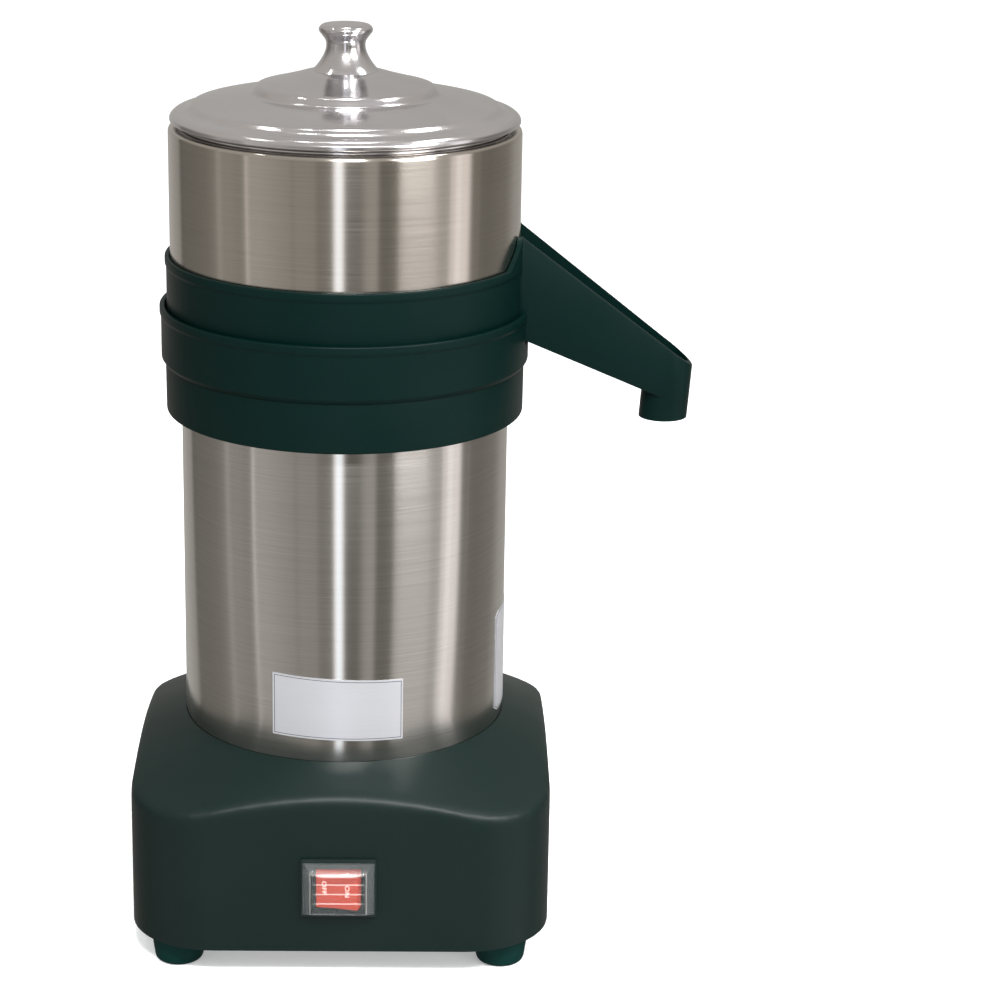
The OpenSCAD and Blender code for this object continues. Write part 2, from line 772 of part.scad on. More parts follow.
module motor_plate() {
    color([0.65, 0.65, 0.66]) translate([0, 0, ledge_z]) difference() {
        cylinder(r = casing_r, h = motor_plate_t);
        translate([0, 0, -cut]) {
            cylinder(r = bell_bore_r, h = motor_plate_t + 2 * cut);
            ring_of(tie_n, tie_ring_r, tie_start) cylinder(r = tie_r + fit_gap, h = motor_plate_t + 2 * cut);
            ring_of(tie_n, bolt_ring_r) cylinder(r = bolt_r + run_gap, h = motor_plate_t + 2 * cut);
            ring_of(bell_window_n, air_ring_r) cylinder(r = air_hole_r, h = motor_plate_t + 2 * cut);
        }
    }
}

module motor_casing() {
    color([0.75, 0.73, 0.7]) translate([0, 0, casing_z])
        tube(casing_r, casing_r - casing_wall, casing_top_z - casing_z);
}

module tie_rods() {
    color([0.7, 0.7, 0.72]) ring_of(tie_n, tie_ring_r, tie_start)
        translate([0, 0, ledge_z - ledge_t - tie_nut_h - tie_end_gap])
            cylinder(r = tie_r, h = cap_deck_z - ledge_z + ledge_t + tie_nut_h);
}
module tie_nuts() {
    color([0.7, 0.7, 0.72]) ring_of(tie_n, tie_ring_r, tie_start)
        translate([0, 0, ledge_z - ledge_t - tie_nut_h]) difference() {
            cylinder(r = tie_nut_r, h = tie_nut_h, $fn = 6);
            translate([0, 0, -cut]) cylinder(r = tie_r + run_gap, h = tie_nut_h + 2 * cut);
        }
}

// End bell with its plate down: a cup with a bearing hub, bolt bosses and air windows
module end_bell() {
    color([0.62, 0.63, 0.65]) difference() {
        union() {
            tube(motor_r, motor_r - bell_wall, bell_h);
            cylinder(r = motor_r, h = bell_t);
            cylinder(r = bearing_r + bearing_wall, h = bell_t + bearing_w);
            ring_of(tie_n, bolt_ring_r) cylinder(r = bell_boss_r, h = bell_h);
        }
        translate([0, 0, -cut]) cylinder(r = bell_bore_r, h = bell_t + 2 * cut);
        translate([0, 0, bell_t]) cylinder(r = bearing_r, h = bell_h);
        translate([0, 0, -cut]) {
            ring_of(tie_n, bolt_ring_r) cylinder(r = bolt_r + fit_gap, h = bell_h + 2 * cut);
            ring_of(bell_window_n, air_ring_r) cylinder(r = air_hole_r, h = bell_t + 2 * cut);
        }
        ring_of(bell_window_n, motor_r, 180 / bell_window_n) translate([0, 0, bell_t + bell_window_h])
            cube([4 * bell_wall, bell_window_w, bell_window_h], center = true);
    }
}
module lower_end_bell() { translate([0, 0, bell_z]) end_bell(); }
module upper_end_bell() { translate([0, 0, upper_bell_top_z]) mirror([0, 0, 1]) end_bell(); }

module stator_core() {
    color([0.35, 0.35, 0.37]) translate([0, 0, core_z]) linear_extrude(stator_h) difference() {
        circle(r = motor_r);
        circle(r = stator_bore_r);
        ring_of(tie_n, bolt_ring_r) circle(r = bolt_r + fit_gap);
        for (i = [0 : slot_n - 1]) rotate((i + 0.5) * 360 / slot_n) {
            translate([stator_bore_r + stator_tip_h, -stator_slot_w / 2])
                square([stator_slot_d, stator_slot_w]);
            translate([stator_bore_r - cut, -stator_mouth_w / 2])
                square([stator_tip_h + 2 * cut, stator_mouth_w]);
        }
    }
}

module winding() {
    flat_w = winding_out_r - winding_in_r;
    color([0.72, 0.4, 0.2]) rotate_extrude() {
        translate([winding_in_r, 0]) square([flat_w, winding_h - winding_round_r]);
        translate([winding_in_r + winding_round_r, 0]) square([flat_w - 2 * winding_round_r, winding_h]);
        for (x = [winding_in_r + winding_round_r, winding_out_r - winding_round_r])
            translate([x, winding_h - winding_round_r]) circle(r = winding_round_r);
    }
}
module lower_winding() { translate([0, 0, core_z]) mirror([0, 0, 1]) winding(); }
module upper_winding() { translate([0, 0, core_top_z]) winding(); }

module through_bolts() {
    color([0.7, 0.7, 0.72]) ring_of(tie_n, bolt_ring_r) {
        translate([0, 0, ledge_z]) cylinder(r = bolt_r, h = upper_bell_top_z - ledge_z + cut);
        translate([0, 0, upper_bell_top_z]) cylinder(r = bolt_head_r, h = bolt_head_h, $fn = 6);
    }
}

// Ball bearings: outer and inner rings with a groove, and balls that run in it
module at_bearings() {
    for (z = [lower_bearing_z, upper_bearing_z]) translate([0, 0, z]) children();
}
module groove() {
    translate([ball_pitch_r, bearing_w / 2]) circle(r = ball_r + run_gap, $fn = 32);
}
module bearing_outer_rings() {
    color([0.75, 0.75, 0.78]) at_bearings() rotate_extrude() difference() {
        translate([bearing_r - race_t, 0]) square([race_t, bearing_w]);
        groove();
    }
}
module bearing_inner_rings() {
    color([0.75, 0.75, 0.78]) at_bearings() rotate_extrude() difference() {
        translate([shaft_r + run_gap, 0]) square([race_t, bearing_w]);
        groove();
    }
}
module bearing_balls() {
    color([0.8, 0.8, 0.82]) at_bearings() ring_of(ball_n, ball_pitch_r)
        translate([0, 0, bearing_w / 2]) sphere(r = ball_r, $fn = 32);
}

module shaft_groove(z) {
    translate([0, 0, z]) tube(shaft_r + cut, shaft_r - clip_groove, clip_ring_t + run_gap);
}
module motor_shaft() {
    color([0.72, 0.72, 0.74]) difference() {
        union() {
            translate([0, 0, shaft_z]) cylinder(r = shaft_r, h = upper_bell_top_z - shaft_z);
            translate([0, 0, lower_bearing_z + bearing_w])
                cylinder(r = rotor_shaft_r, h = upper_bearing_z - lower_bearing_z - bearing_w);
            translate([0, 0, upper_bell_top_z - cut])
                cylinder(r = spindle_r, h = spindle_shoulder_z - upper_bell_top_z + cut);
            translate([0, 0, spindle_shoulder_z - cut])
                cylinder(r = drive_r, h = spindle_top_z - spindle_shoulder_z + cut);
        }
        shaft_groove(lower_bearing_z - clip_ring_t - run_gap);
        shaft_groove(upper_bearing_z + bearing_w);
        shaft_groove(fan_z - clip_ring_t - run_gap);
        for (y = [-1, 1])
            translate([0, y * (drive_flat / 2 + drive_r), spindle_top_z - drive_flat_h / 2 + cut / 2])
                cube([4 * drive_r, 2 * drive_r, drive_flat_h + cut], center = true);
    }
}
module retaining_rings() {
    zs = [lower_bearing_z - clip_ring_t, upper_bearing_z + bearing_w, fan_z - clip_ring_t];
    color([0.3, 0.3, 0.32]) for (z = zs) translate([0, 0, z]) difference() {
        tube(shaft_r + clip_ring_out, shaft_r - clip_groove + run_gap, clip_ring_t);
        translate([0, -clip_ring_t, -cut])
            cube([shaft_r + clip_ring_out + cut, 2 * clip_ring_t, clip_ring_t + 2 * cut]);
    }
}

module rotor_core() {
    color([0.45, 0.45, 0.47]) rotate_extrude() polygon([
        [rotor_shaft_r + run_gap, core_z + rotor_end_gap - rotor_ring_h],
        [rotor_ring_r, core_z + rotor_end_gap - rotor_ring_h], [rotor_ring_r, core_z + rotor_end_gap],
        [rotor_r, core_z + rotor_end_gap], [rotor_r, core_top_z - rotor_end_gap],
        [rotor_ring_r, core_top_z - rotor_end_gap], [rotor_ring_r, core_top_z - rotor_end_gap + rotor_ring_h],
        [rotor_shaft_r + run_gap, core_top_z - rotor_end_gap + rotor_ring_h]
    ]);
}

module cooling_fan() {
    color([0.12, 0.12, 0.12]) translate([0, 0, fan_z]) difference() {
        union() {
            cylinder(r = fan_hub_r, h = fan_h);
            translate([0, 0, fan_h - fan_disc_t]) cylinder(r = fan_r, h = fan_disc_t);
            ring_of(fan_blade_n, fan_blade_in_r) rotate(-fan_blade_turn)
                translate([0, -fan_blade_t / 2, 0])
                    cube([fan_r - fan_blade_in_r - fan_disc_t, fan_blade_t, fan_h]);
        }
        translate([0, 0, -cut]) cylinder(r = shaft_r + run_gap, h = fan_h + 2 * cut);
    }
}

module motor_cap() {
    skirt_in_r = casing_r + fit_gap;
    ledge_r = casing_r - casing_wall - cap_ledge_w;
    hub_z0 = cap_deck_z - cap_hub_drop;
    hub_z1 = cap_top_z + cap_hub_h;
    color([0.09, 0.11, 0.1]) difference() {
        union() {
            rotate_extrude() polygon([
                [skirt_in_r, cap_z], [cap_r - cap_draft, cap_z], [cap_r, cap_top_z], [cap_hub_r, cap_top_z],
                [cap_hub_r, hub_z1], [seal_r, hub_z1], [seal_r, hub_z1 - seal_h],
                [spindle_r + seal_lip_gap, hub_z1 - seal_h], [spindle_r + seal_lip_gap, hub_z0],
                [cap_hub_r, hub_z0], [cap_hub_r, cap_deck_z], [ledge_r, cap_deck_z], [ledge_r, casing_top_z],
                [skirt_in_r, casing_top_z]
            ]);
            ring_of(tie_n, tie_ring_r, tie_start)
                translate([0, 0, cap_deck_z - tie_boss_h]) cylinder(r = tie_boss_r, h = tie_boss_h + cut);
        }
        ring_of(tie_n, tie_ring_r, tie_start)
            translate([0, 0, cap_deck_z - tie_boss_h - cut]) cylinder(r = tie_r + run_gap, h = tie_boss_h);
        ring_of(seat_screw_n, seat_screw_ring_r, seat_screw_start)
            translate([0, 0, cap_deck_z]) cylinder(r = seat_screw_r + run_gap, h = cap_deck_t + cut);
    }
}

module shaft_seal() {
    color([0.06, 0.06, 0.06]) translate([0, 0, cap_top_z + cap_hub_h - seal_h]) rotate_extrude() polygon([
        [spindle_r + seal_lip_gap, 0], [seal_r - run_gap, 0], [seal_r - run_gap, seal_h],
        [spindle_r + run_gap, seal_h], [spindle_r + run_gap, seal_h - seal_lip_gap],
        [spindle_r + 2 * seal_lip_gap, seal_h - 2 * seal_lip_gap], [spindle_r + seal_lip_gap, seal_lip_gap]
    ]);
}

module seat_ring() {
    seat_notch_z = spout_line_z(seat_r + bead_out, spout_under_z) - seat_notch_gap;
    color([0.09, 0.11, 0.1]) difference() {
        union() {
            rotate_extrude() polygon([
                [seat_in_r, cap_top_z], [seat_in_r + seat_wall, cap_top_z],
                [seat_in_r + seat_wall, seat_deck_z - seat_deck_t],
                [seat_r - seat_wall, seat_deck_z - seat_deck_t],
                [seat_r - seat_wall, cap_top_z + seat_bevel_h], [seat_foot_r - seat_wall, cap_top_z],
                [seat_foot_r, cap_top_z], [seat_r, cap_top_z + seat_bevel_h],
                [seat_r, seat_top_z - bead_h - bead_slope_h], [seat_r + bead_out, seat_top_z - bead_h],
                [seat_r + bead_out, seat_top_z], [seat_r - lip_wall, seat_top_z],
                [seat_r - lip_wall, seat_deck_z], [seat_in_r, seat_deck_z]
            ]);
            ring_of(seat_screw_n, seat_screw_ring_r, seat_screw_start)
                translate([0, 0, cap_top_z]) cylinder(r = seat_boss_r, h = seat_deck_h);
        }
        ring_of(seat_screw_n, seat_screw_ring_r, seat_screw_start) {
            translate([0, 0, cap_top_z - cut])
                cylinder(r = seat_screw_r + fit_gap, h = seat_deck_h + 2 * cut);
            translate([0, 0, seat_deck_z - seat_screw_head_h])
                cylinder(r = seat_screw_head_r + fit_gap, h = seat_screw_head_h + cut);
        }
        translate([0, -spout_root_w / 2 - seat_notch_gap, seat_notch_z])
            cube([seat_r + bead_out + cut, spout_root_w + 2 * seat_notch_gap, seat_top_z]);
    }
}
module seat_ring_screws() {
    color([0.7, 0.7, 0.72]) ring_of(seat_screw_n, seat_screw_ring_r, seat_screw_start) {
        translate([0, 0, seat_deck_z - seat_screw_head_h])
            cylinder(r = seat_screw_head_r, h = seat_screw_head_h);
        translate([0, 0, cap_deck_z + seat_gap])
            cylinder(r = seat_screw_r, h = seat_deck_z - cap_deck_z - seat_screw_head_h);
    }
}

// Plan of the spout, widened or narrowed by an inset, and its side profiles
module spout_plan(x0, inset) {
    x1 = spout_reach - outlet_r;
    polygon([
        [x0, spout_root_w / 2 - inset], [bowl_r, spout_root_w / 2 - inset], [outlet_x, outlet_r - inset],
        [x1, outlet_r - inset], [x1, inset - outlet_r], [outlet_x, inset - outlet_r],
        [bowl_r, inset - spout_root_w / 2], [x0, inset - spout_root_w / 2]
    ]);
}
module side_profile(points) {
    rotate([90, 0, 0]) linear_extrude(2 * spout_root_w, center = true) polygon(points);
}
function spout_edge_z(x) = spout_top_z - spout_fall * (x - bowl_in_r) / (spout_reach - bowl_in_r);
function spout_line_z(x, z0) = z0 - (x - bowl_r) * tan(spout_under_slope);
// Leaning cylinder of the spout's nose, which goes on below as the outlet
module nose(r) {
    translate([outlet_x, 0, outlet_z]) rotate([0, outlet_lean, 0]) translate([0, 0, -outlet_drop])
        cylinder(r = r, h = spout_top_z - outlet_z);
}

module spout_form() {
    x1 = spout_reach + cut;
    intersection() {
        union() {
            translate([0, 0, outlet_z]) linear_extrude(spout_top_z) spout_plan(bowl_low_r + cut, 0);
            nose(outlet_r);
        }
        side_profile([
            [bowl_low_r, spout_top_z], [bowl_in_r, spout_top_z], [x1, spout_edge_z(x1)],
            [x1, spout_line_z(x1, spout_under_z)], [bowl_r, spout_under_z], [bowl_low_r, spout_under_z]
        ]);
    }
    intersection() {
        nose(outlet_r);
        translate([outlet_x, 0, outlet_z])
            cylinder(r = 2 * outlet_r, h = spout_line_z(outlet_x, spout_under_z) + bowl_floor_t - outlet_z);
    }
}
module spout_void() {
    x1 = spout_reach + cut;
    x0 = bowl_low_r - bowl_ledge_w;
    intersection() {
        union() {
            translate([0, 0, outlet_z]) linear_extrude(spout_top_z) spout_plan(x0, spout_wall);
            nose(outlet_bore_r);
        }
        side_profile([
            [x0, spout_top_z + cut], [x1, spout_top_z + cut], [x1, spout_line_z(x1, bowl_floor_z)],
            [bowl_r, bowl_floor_z], [x0, bowl_floor_z]
        ]);
    }
    bore_top_z = spout_line_z(outlet_x - outlet_bore_r, bowl_floor_z) + cut;
    intersection() {
        nose(outlet_bore_r);
        translate([outlet_x, 0, outlet_z - cut]) cylinder(r = outlet_r, h = bore_top_z + cut - outlet_z);
    }
}
// Rim that climbs in ramps to the spout's walls
module spout_ramps() {
    head_y = spout_root_w / 2 + ramp_head_w;
    shoulder_y = head_y + ramp_shoulder_w;
    shoulder_z1 = spout_top_z - ramp_shoulder_h;
    foot_y = shoulder_y + ramp_run;
    intersection() {
        translate([0, 0, rim_z - bowl_wall]) tube(bowl_r + bead_out, bowl_in_r, spout_rise + bowl_wall);
        rotate([90, 0, 90]) linear_extrude(bowl_r + bead_out + cut) polygon([
            [-head_y, spout_top_z], [head_y, spout_top_z], [shoulder_y, shoulder_z1],
            [foot_y, rim_z - bead_h / 2], [foot_y, bowl_z], [-foot_y, bowl_z], [-foot_y, rim_z - bead_h / 2],
            [-shoulder_y, shoulder_z1]
        ]);
    }
}

module juice_bowl() {
    foot_r0 = bowl_r - bowl_foot_w;
    edge_z = rim_z - bowl_wall / 2;
    bead_z = rim_z - bead_h;
    color([0.09, 0.11, 0.1]) difference() {
        union() {
            rotate_extrude() {
                polygon([
                    [chimney_r - chimney_wall, bowl_floor_z + bowl_floor_rise - bowl_floor_t],
                    [foot_r0, bowl_floor_z - bowl_floor_t], [foot_r0, bowl_z], [bowl_r, bowl_z],
                    [bowl_r, bead_z - bead_slope_h], [bowl_r + bead_out, bead_z], [bowl_r + bead_out, edge_z],
                    [bowl_r + bead_out - bowl_wall / 2, rim_z], [bowl_in_r + bowl_wall / 2, rim_z],
                    [bowl_in_r, edge_z], [bowl_in_r, bowl_ledge_z],
                    [bowl_low_r, bowl_ledge_z], [bowl_low_r, bowl_floor_z],
                    [chimney_r, bowl_floor_z + bowl_floor_rise], [chimney_r, chimney_top_z],
                    [chimney_r - chimney_wall, chimney_top_z]
                ]);
                for (r = [bowl_in_r + bowl_wall / 2, bowl_r + bead_out - bowl_wall / 2])
                    translate([r, edge_z]) circle(r = bowl_wall / 2, $fn = 24);
            }
            difference() {
                spout_form();
                cylinder(r = bowl_in_r, h = spout_top_z + cut);
            }
            spout_ramps();
        }
        spout_void();
    }
}

// Radius at which each row of slots starts, and the length of its slots
slot_in_r = hub_disc_r + slot_row_gap;
slot_len = (basket_r - strainer_t - slot_in_r) / slot_rings - slot_row_gap;
function slot_row_r(i) = slot_in_r + i * (slot_len + slot_row_gap);
function slot_row_n(i) = floor(2 * PI * slot_row_r(i) / slot_pitch);

module strainer() {
    color([0.75, 0.75, 0.76]) {
        rotate_extrude() polygon([
            [basket_r - strainer_t, basket_z], [basket_r, basket_z], [basket_r, strainer_flange_z],
            [strainer_r, strainer_flange_z], [strainer_r, strainer_flange_z + strainer_t],
            [basket_r - strainer_t, strainer_flange_z + strainer_t]
        ]);
        translate([0, 0, basket_z])
            tube(strainer_collar_in_r + strainer_t, strainer_collar_in_r, strainer_collar_h);
        translate([0, 0, basket_z]) linear_extrude(strainer_t) difference() {
            circle(r = basket_r - strainer_t / 2);
            circle(r = strainer_collar_in_r + strainer_t / 2);
            for (i = [0 : slot_rings - 1], k = [0 : slot_row_n(i) - 1]) rotate(k * 360 / slot_row_n(i))
                translate([slot_row_r(i), -slot_w / 2]) square([slot_len, slot_w]);
        }
    }
}

module reamer_hub() {
    color([0.7, 0.7, 0.72]) difference() {
        union() {
            translate([0, 0, hub_z]) cylinder(r = hub_disc_r, h = hub_disc_t);
            translate([0, 0, hub_z + hub_disc_t - hub_skirt_h])
                tube(hub_disc_r, hub_disc_r - hub_skirt_t, hub_skirt_h);
            translate([0, 0, hub_z]) cylinder(r = spigot_r, h = hub_disc_t + spigot_h, $fn = 6);
        }
        translate([0, 0, hub_z - cut]) intersection() {
            cylinder(r = drive_r + run_gap, h = spindle_top_z + seat_gap - hub_z + cut);
            union() {
                cylinder(r = 2 * drive_r, h = spindle_top_z - drive_flat_h + seat_gap - hub_z + cut);
                translate([-2 * drive_r, -drive_flat / 2 - run_gap, 0])
                    cube([4 * drive_r, drive_flat + 2 * run_gap, hub_top_z]);
            }
        }
    }
}

// Reamer: rings of points whose radius follows a pointed dome, with sharp ribs that fade to the tip
function reamer_dome(t) = pow(cos(90 * t), reamer_round_share);
function rib_wave(i) = 1 - pow(abs(2 * (i % reamer_steps) / reamer_steps - 1), reamer_round_share);
function reamer_radius(t, i) = reamer_r * reamer_dome(t) - rib_h * rib_wave(i) * sqrt(reamer_dome(t));
module reamer_form() {
    n = rib_n * reamer_steps;
    points = [
        for (j = [0 : reamer_rings - 1], i = [0 : n - 1])
            let (t = reamer_tip_share * j / (reamer_rings - 1), a = i * 360 / n, r = reamer_radius(t, i))
                [r * cos(a), r * sin(a), (reamer_h - reamer_lip_h) * t],
        [0, 0, reamer_h - reamer_lip_h]
    ];
    sides = [for (j = [0 : reamer_rings - 2], i = [0 : n - 1]) let (k = (i + 1) % n)
        each [[j * n + i, (j + 1) * n + i, (j + 1) * n + k], [j * n + i, (j + 1) * n + k, j * n + k]]];
    last = (reamer_rings - 1) * n;
    tip = [for (i = [0 : n - 1]) [last + i, last + n, last + (i + 1) % n]];
    polyhedron(points = points, faces = concat(sides, tip, [[for (i = [0 : n - 1]) i]]), convexity = 6);
}
module reamer() {
    color([0.92, 0.92, 0.88]) translate([0, 0, reamer_z]) difference() {
        union() {
            cylinder(r = reamer_r, h = reamer_lip_h);
            translate([0, 0, reamer_lip_h]) reamer_form();
        }
        translate([0, 0, -cut]) cylinder(r = spigot_r + fit_gap, h = spigot_h + cut, $fn = 6);
    }
}

module steel_guard() {
    h = guard_top_z - guard_z;
    color([0.75, 0.73, 0.7]) translate([0, 0, guard_z]) rotate_extrude() {
        translate([guard_r - guard_wall, 0]) square([guard_wall, h - guard_edge_r]);
        translate([guard_mouth_r, h - guard_wall]) square([guard_mouth_w - guard_edge_r, guard_wall]);
        difference() {
            translate([guard_r - guard_edge_r, h - guard_edge_r]) circle(r = guard_edge_r);
            translate([guard_r - guard_edge_r, h - guard_edge_r]) circle(r = guard_edge_r - guard_wall);
            translate([guard_r - 3 * guard_edge_r, h - 3 * guard_edge_r])
                square([2 * guard_edge_r, 3 * guard_edge_r]);
            translate([guard_r - 2 * guard_edge_r, h - 3 * guard_edge_r])
                square([3 * guard_edge_r, 2 * guard_edge_r]);
        }
    }
}

module lid_dome() {
    outer = spline(scaled(lid_shares, lid_r, dome_h), 3);
    inner = [for (p = outer) [p[0], p[1] - lid_t]];
    skirt_top = dome_h * lid_shares[3][1];
    color([0.8, 0.8, 0.82]) translate([0, 0, lid_z]) rotate_extrude() {
        polygon(concat(outer, [[knob_screw_r + fit_gap, dome_h], [knob_screw_r + fit_gap, dome_h - lid_t]],
            flipped(inner)));
        translate([lid_r - lid_bead_r, lid_bead_r]) circle(r = lid_bead_r, $fn = 32);
        translate([lid_skirt_r - lid_skirt_t, -lid_lift - lid_skirt_h])
            square([lid_skirt_t, lid_skirt_h + lid_lift + skirt_top]);
        translate([lid_skirt_r - lid_skirt_t, seat_gap - lid_lift])
            square([lid_skirt_t + lid_rest_w, lid_skirt_t]);
    }
}

module lid_knob() {
    outer = spline(scaled(knob_shares, knob_foot_r, knob_h), 4);
    color([0.8, 0.8, 0.82]) translate([0, 0, knob_z]) difference() {
        rotate_extrude() polygon(concat([[0, 0]], outer, [[0, knob_h]]));
        translate([0, 0, -cut]) cylinder(r = knob_screw_r + run_gap, h = knob_screw_l + 2 * cut);
    }
}
module knob_screw() {
    color([0.7, 0.7, 0.72]) translate([0, 0, knob_z - lid_t - washer_t]) {
        translate([0, 0, -knob_head_h]) cylinder(r = knob_head_r, h = knob_head_h);
        cylinder(r = knob_screw_r, h = lid_t + washer_t + knob_screw_l);
    }
}
module knob_washer() {
    color([0.7, 0.7, 0.72]) translate([0, 0, knob_z - lid_t - washer_t])
        tube(washer_r, knob_screw_r + run_gap, washer_t);
}

base_housing();
base_plate();
base_plate_screws();
foot_front_left();
foot_front_right();
foot_rear_left();
foot_rear_right();
foot_screws();
foot_nuts();
cord_grommet();
switch_body();
switch_cover();
switch_terminals();
rocker();
capacitor();
capacitor_clip();
terminal_block();
motor_plate();
motor_casing();
tie_rods();
tie_nuts();
lower_end_bell();
upper_end_bell();
stator_core();
lower_winding();
upper_winding();
through_bolts();
bearing_outer_rings();
bearing_balls();
bearing_inner_rings();
motor_shaft();
rotor_core();
cooling_fan();
retaining_rings();
motor_cap();
shaft_seal();
seat_ring();
seat_ring_screws();
juice_bowl();
strainer();
reamer_hub();
reamer();
steel_guard();
lid_dome();
lid_knob();
knob_screw();
knob_washer();
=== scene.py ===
import json
import math
import bpy
from mathutils import Matrix, Vector


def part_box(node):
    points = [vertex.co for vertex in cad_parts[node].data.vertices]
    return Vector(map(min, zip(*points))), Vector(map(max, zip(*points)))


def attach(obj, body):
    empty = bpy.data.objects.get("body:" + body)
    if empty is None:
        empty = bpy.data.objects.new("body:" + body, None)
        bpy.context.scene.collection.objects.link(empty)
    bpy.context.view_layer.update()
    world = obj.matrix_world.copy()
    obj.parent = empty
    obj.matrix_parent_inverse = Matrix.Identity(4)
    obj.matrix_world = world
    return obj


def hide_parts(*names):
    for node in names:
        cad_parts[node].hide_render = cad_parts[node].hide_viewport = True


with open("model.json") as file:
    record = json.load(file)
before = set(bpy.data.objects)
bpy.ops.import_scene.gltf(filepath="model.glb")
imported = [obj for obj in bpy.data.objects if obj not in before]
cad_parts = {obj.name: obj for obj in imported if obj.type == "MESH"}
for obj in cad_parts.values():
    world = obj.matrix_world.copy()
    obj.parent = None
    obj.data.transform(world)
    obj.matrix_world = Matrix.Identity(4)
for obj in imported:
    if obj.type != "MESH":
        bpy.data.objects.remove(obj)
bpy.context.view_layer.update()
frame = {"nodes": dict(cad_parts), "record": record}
nodes = frame["nodes"]
mm = 0.001


# Camera, at the photograph's viewing angle
cameraSizes = {
    "place": (0.0417, -1.4864, 0.7037),
    "yaw": 1.69,        # degrees towards +X
    "pitch": 17.476,    # degrees down
    "roll": 1.081,
    "lens": 101.47,
}


def makeCamera(s):
    yaw, pitch, roll = (math.radians(s[k]) for k in ("yaw", "pitch", "roll"))
    ahead = Vector((math.sin(yaw) * math.cos(pitch), math.cos(yaw) * math.cos(pitch), -math.sin(pitch)))
    right = Vector((math.cos(yaw), -math.sin(yaw), 0))
    up = right.cross(ahead)
    across = right * math.cos(roll) + up * math.sin(roll)
    upward = up * math.cos(roll) - right * math.sin(roll)
    bpy.ops.object.camera_add(location=s["place"])
    camera = bpy.context.object
    camera.name = "camera"
    turned = Matrix((across, upward, -ahead)).transposed().to_4x4()
    camera.matrix_world = Matrix.Translation(s["place"]) @ turned
    camera.data.lens = s["lens"]
    camera.data.sensor_width = 36
    camera.data.clip_end = 60
    bpy.context.scene.camera = camera


makeCamera(cameraSizes)
print("camera made")


# Shader nodes: sums are written as expressions, every other node comes from Finish.node
class Wire:
    def __init__(self, finish, socket):
        self.finish = finish
        self.socket = socket

    def sum(self, operation, first, second):
        return self.finish.node("ShaderNodeMath", {"operation": operation}, {0: first, 1: second})

    def __add__(self, other):
        return self.sum("ADD", self, other)

    def __radd__(self, other):
        return self.sum("ADD", other, self)

    def __sub__(self, other):
        return self.sum("SUBTRACT", self, other)

    def __rsub__(self, other):
        return self.sum("SUBTRACT", other, self)

    def __mul__(self, other):
        return self.sum("MULTIPLY", self, other)

    def __rmul__(self, other):
        return self.sum("MULTIPLY", other, self)


class Finish:
    def __init__(self, name, tree=None):
        if tree is None:
            self.material = bpy.data.materials.new(name)
            self.material.use_nodes = True
            tree = self.material.node_tree
        self.tree = tree
        self.tree.nodes.clear()

    def node(self, kind, settings=None, sockets=None, out=0):
        made = self.tree.nodes.new(kind)
        for key, value in (settings or {}).items():
            if key == "stops":
                ramp = made.color_ramp.elements
                while len(ramp) < len(value):
                    ramp.new(0.5)
                for stop, (place, colour) in zip(ramp, value):
                    stop.position = place
                    stop.color = (*colour, 1)
            else:
                setattr(made, key, value)
        for key, value in (sockets or {}).items():
            if isinstance(value, Wire):
                self.tree.links.new(value.socket, made.inputs[key])
            else:
                made.inputs[key].default_value = value
        return Wire(self, made.outputs[out]) if made.outputs else None

    def place(self, scale=(1, 1, 1)):      # object coordinates, stretched
        where = self.node("ShaderNodeTexCoord", out="Object")
        return self.node("ShaderNodeMapping", {}, {"Vector": where, "Scale": scale})

    def noise(self, scale, detail, stretch=(1, 1, 1), rough=0.5):
        return self.node("ShaderNodeTexNoise", {}, {
            "Vector": self.place(stretch), "Scale": scale, "Detail": detail, "Roughness": rough})

    def ramp(self, value, low, high):      # 0 below low, 1 above high
        return self.node("ShaderNodeMapRange", {"clamp": True},
                         {"Value": value, "From Min": low, "From Max": high})

    def mix(self, share, first, second):       # inputs 6 and 7 and output 2 are the colour ones
        first, second = ((*c, 1) if isinstance(c, tuple) else c for c in (first, second))
        return self.node("ShaderNodeMix", {"data_type": "RGBA"},
                         {"Factor": share, 6: first, 7: second}, out=2)

    def bump(self, height, strength, distance):
        return self.node("ShaderNodeBump", {}, {"Height": height, "Strength": strength, "Distance": distance})

    def surface(self, **sockets):
        named = {key.replace("_", " "): value for key, value in sockets.items()}
        shader = self.node("ShaderNodeBsdfPrincipled", {}, named)
        self.node("ShaderNodeOutputMaterial", {}, {"Surface": shader})
        return self.material


def moulded(name, colour, worn, roughness, grain=900, grainDepth=0.00006, shine=0.16):
    f = Finish(name)
    cloudy = f.noise(14, 3.0)
    fine = f.noise(grain, 2.0)
    scuffs = f.ramp(f.noise(60, 6.0, (1, 1, 0.35), 0.7), 0.62, 0.8)
    paler = f.ramp(cloudy, 0.35, 0.75) * 0.5 + scuffs * 0.3
    height = fine + cloudy * 2.0
    return f.surface(
        Base_Color=f.mix(paler, colour, worn),
        Roughness=roughness + (cloudy - 0.5) * 0.18 + scuffs * 0.08,
        Specular_IOR_Level=shine,
        Normal=f.bump(height, 0.45, grainDepth))


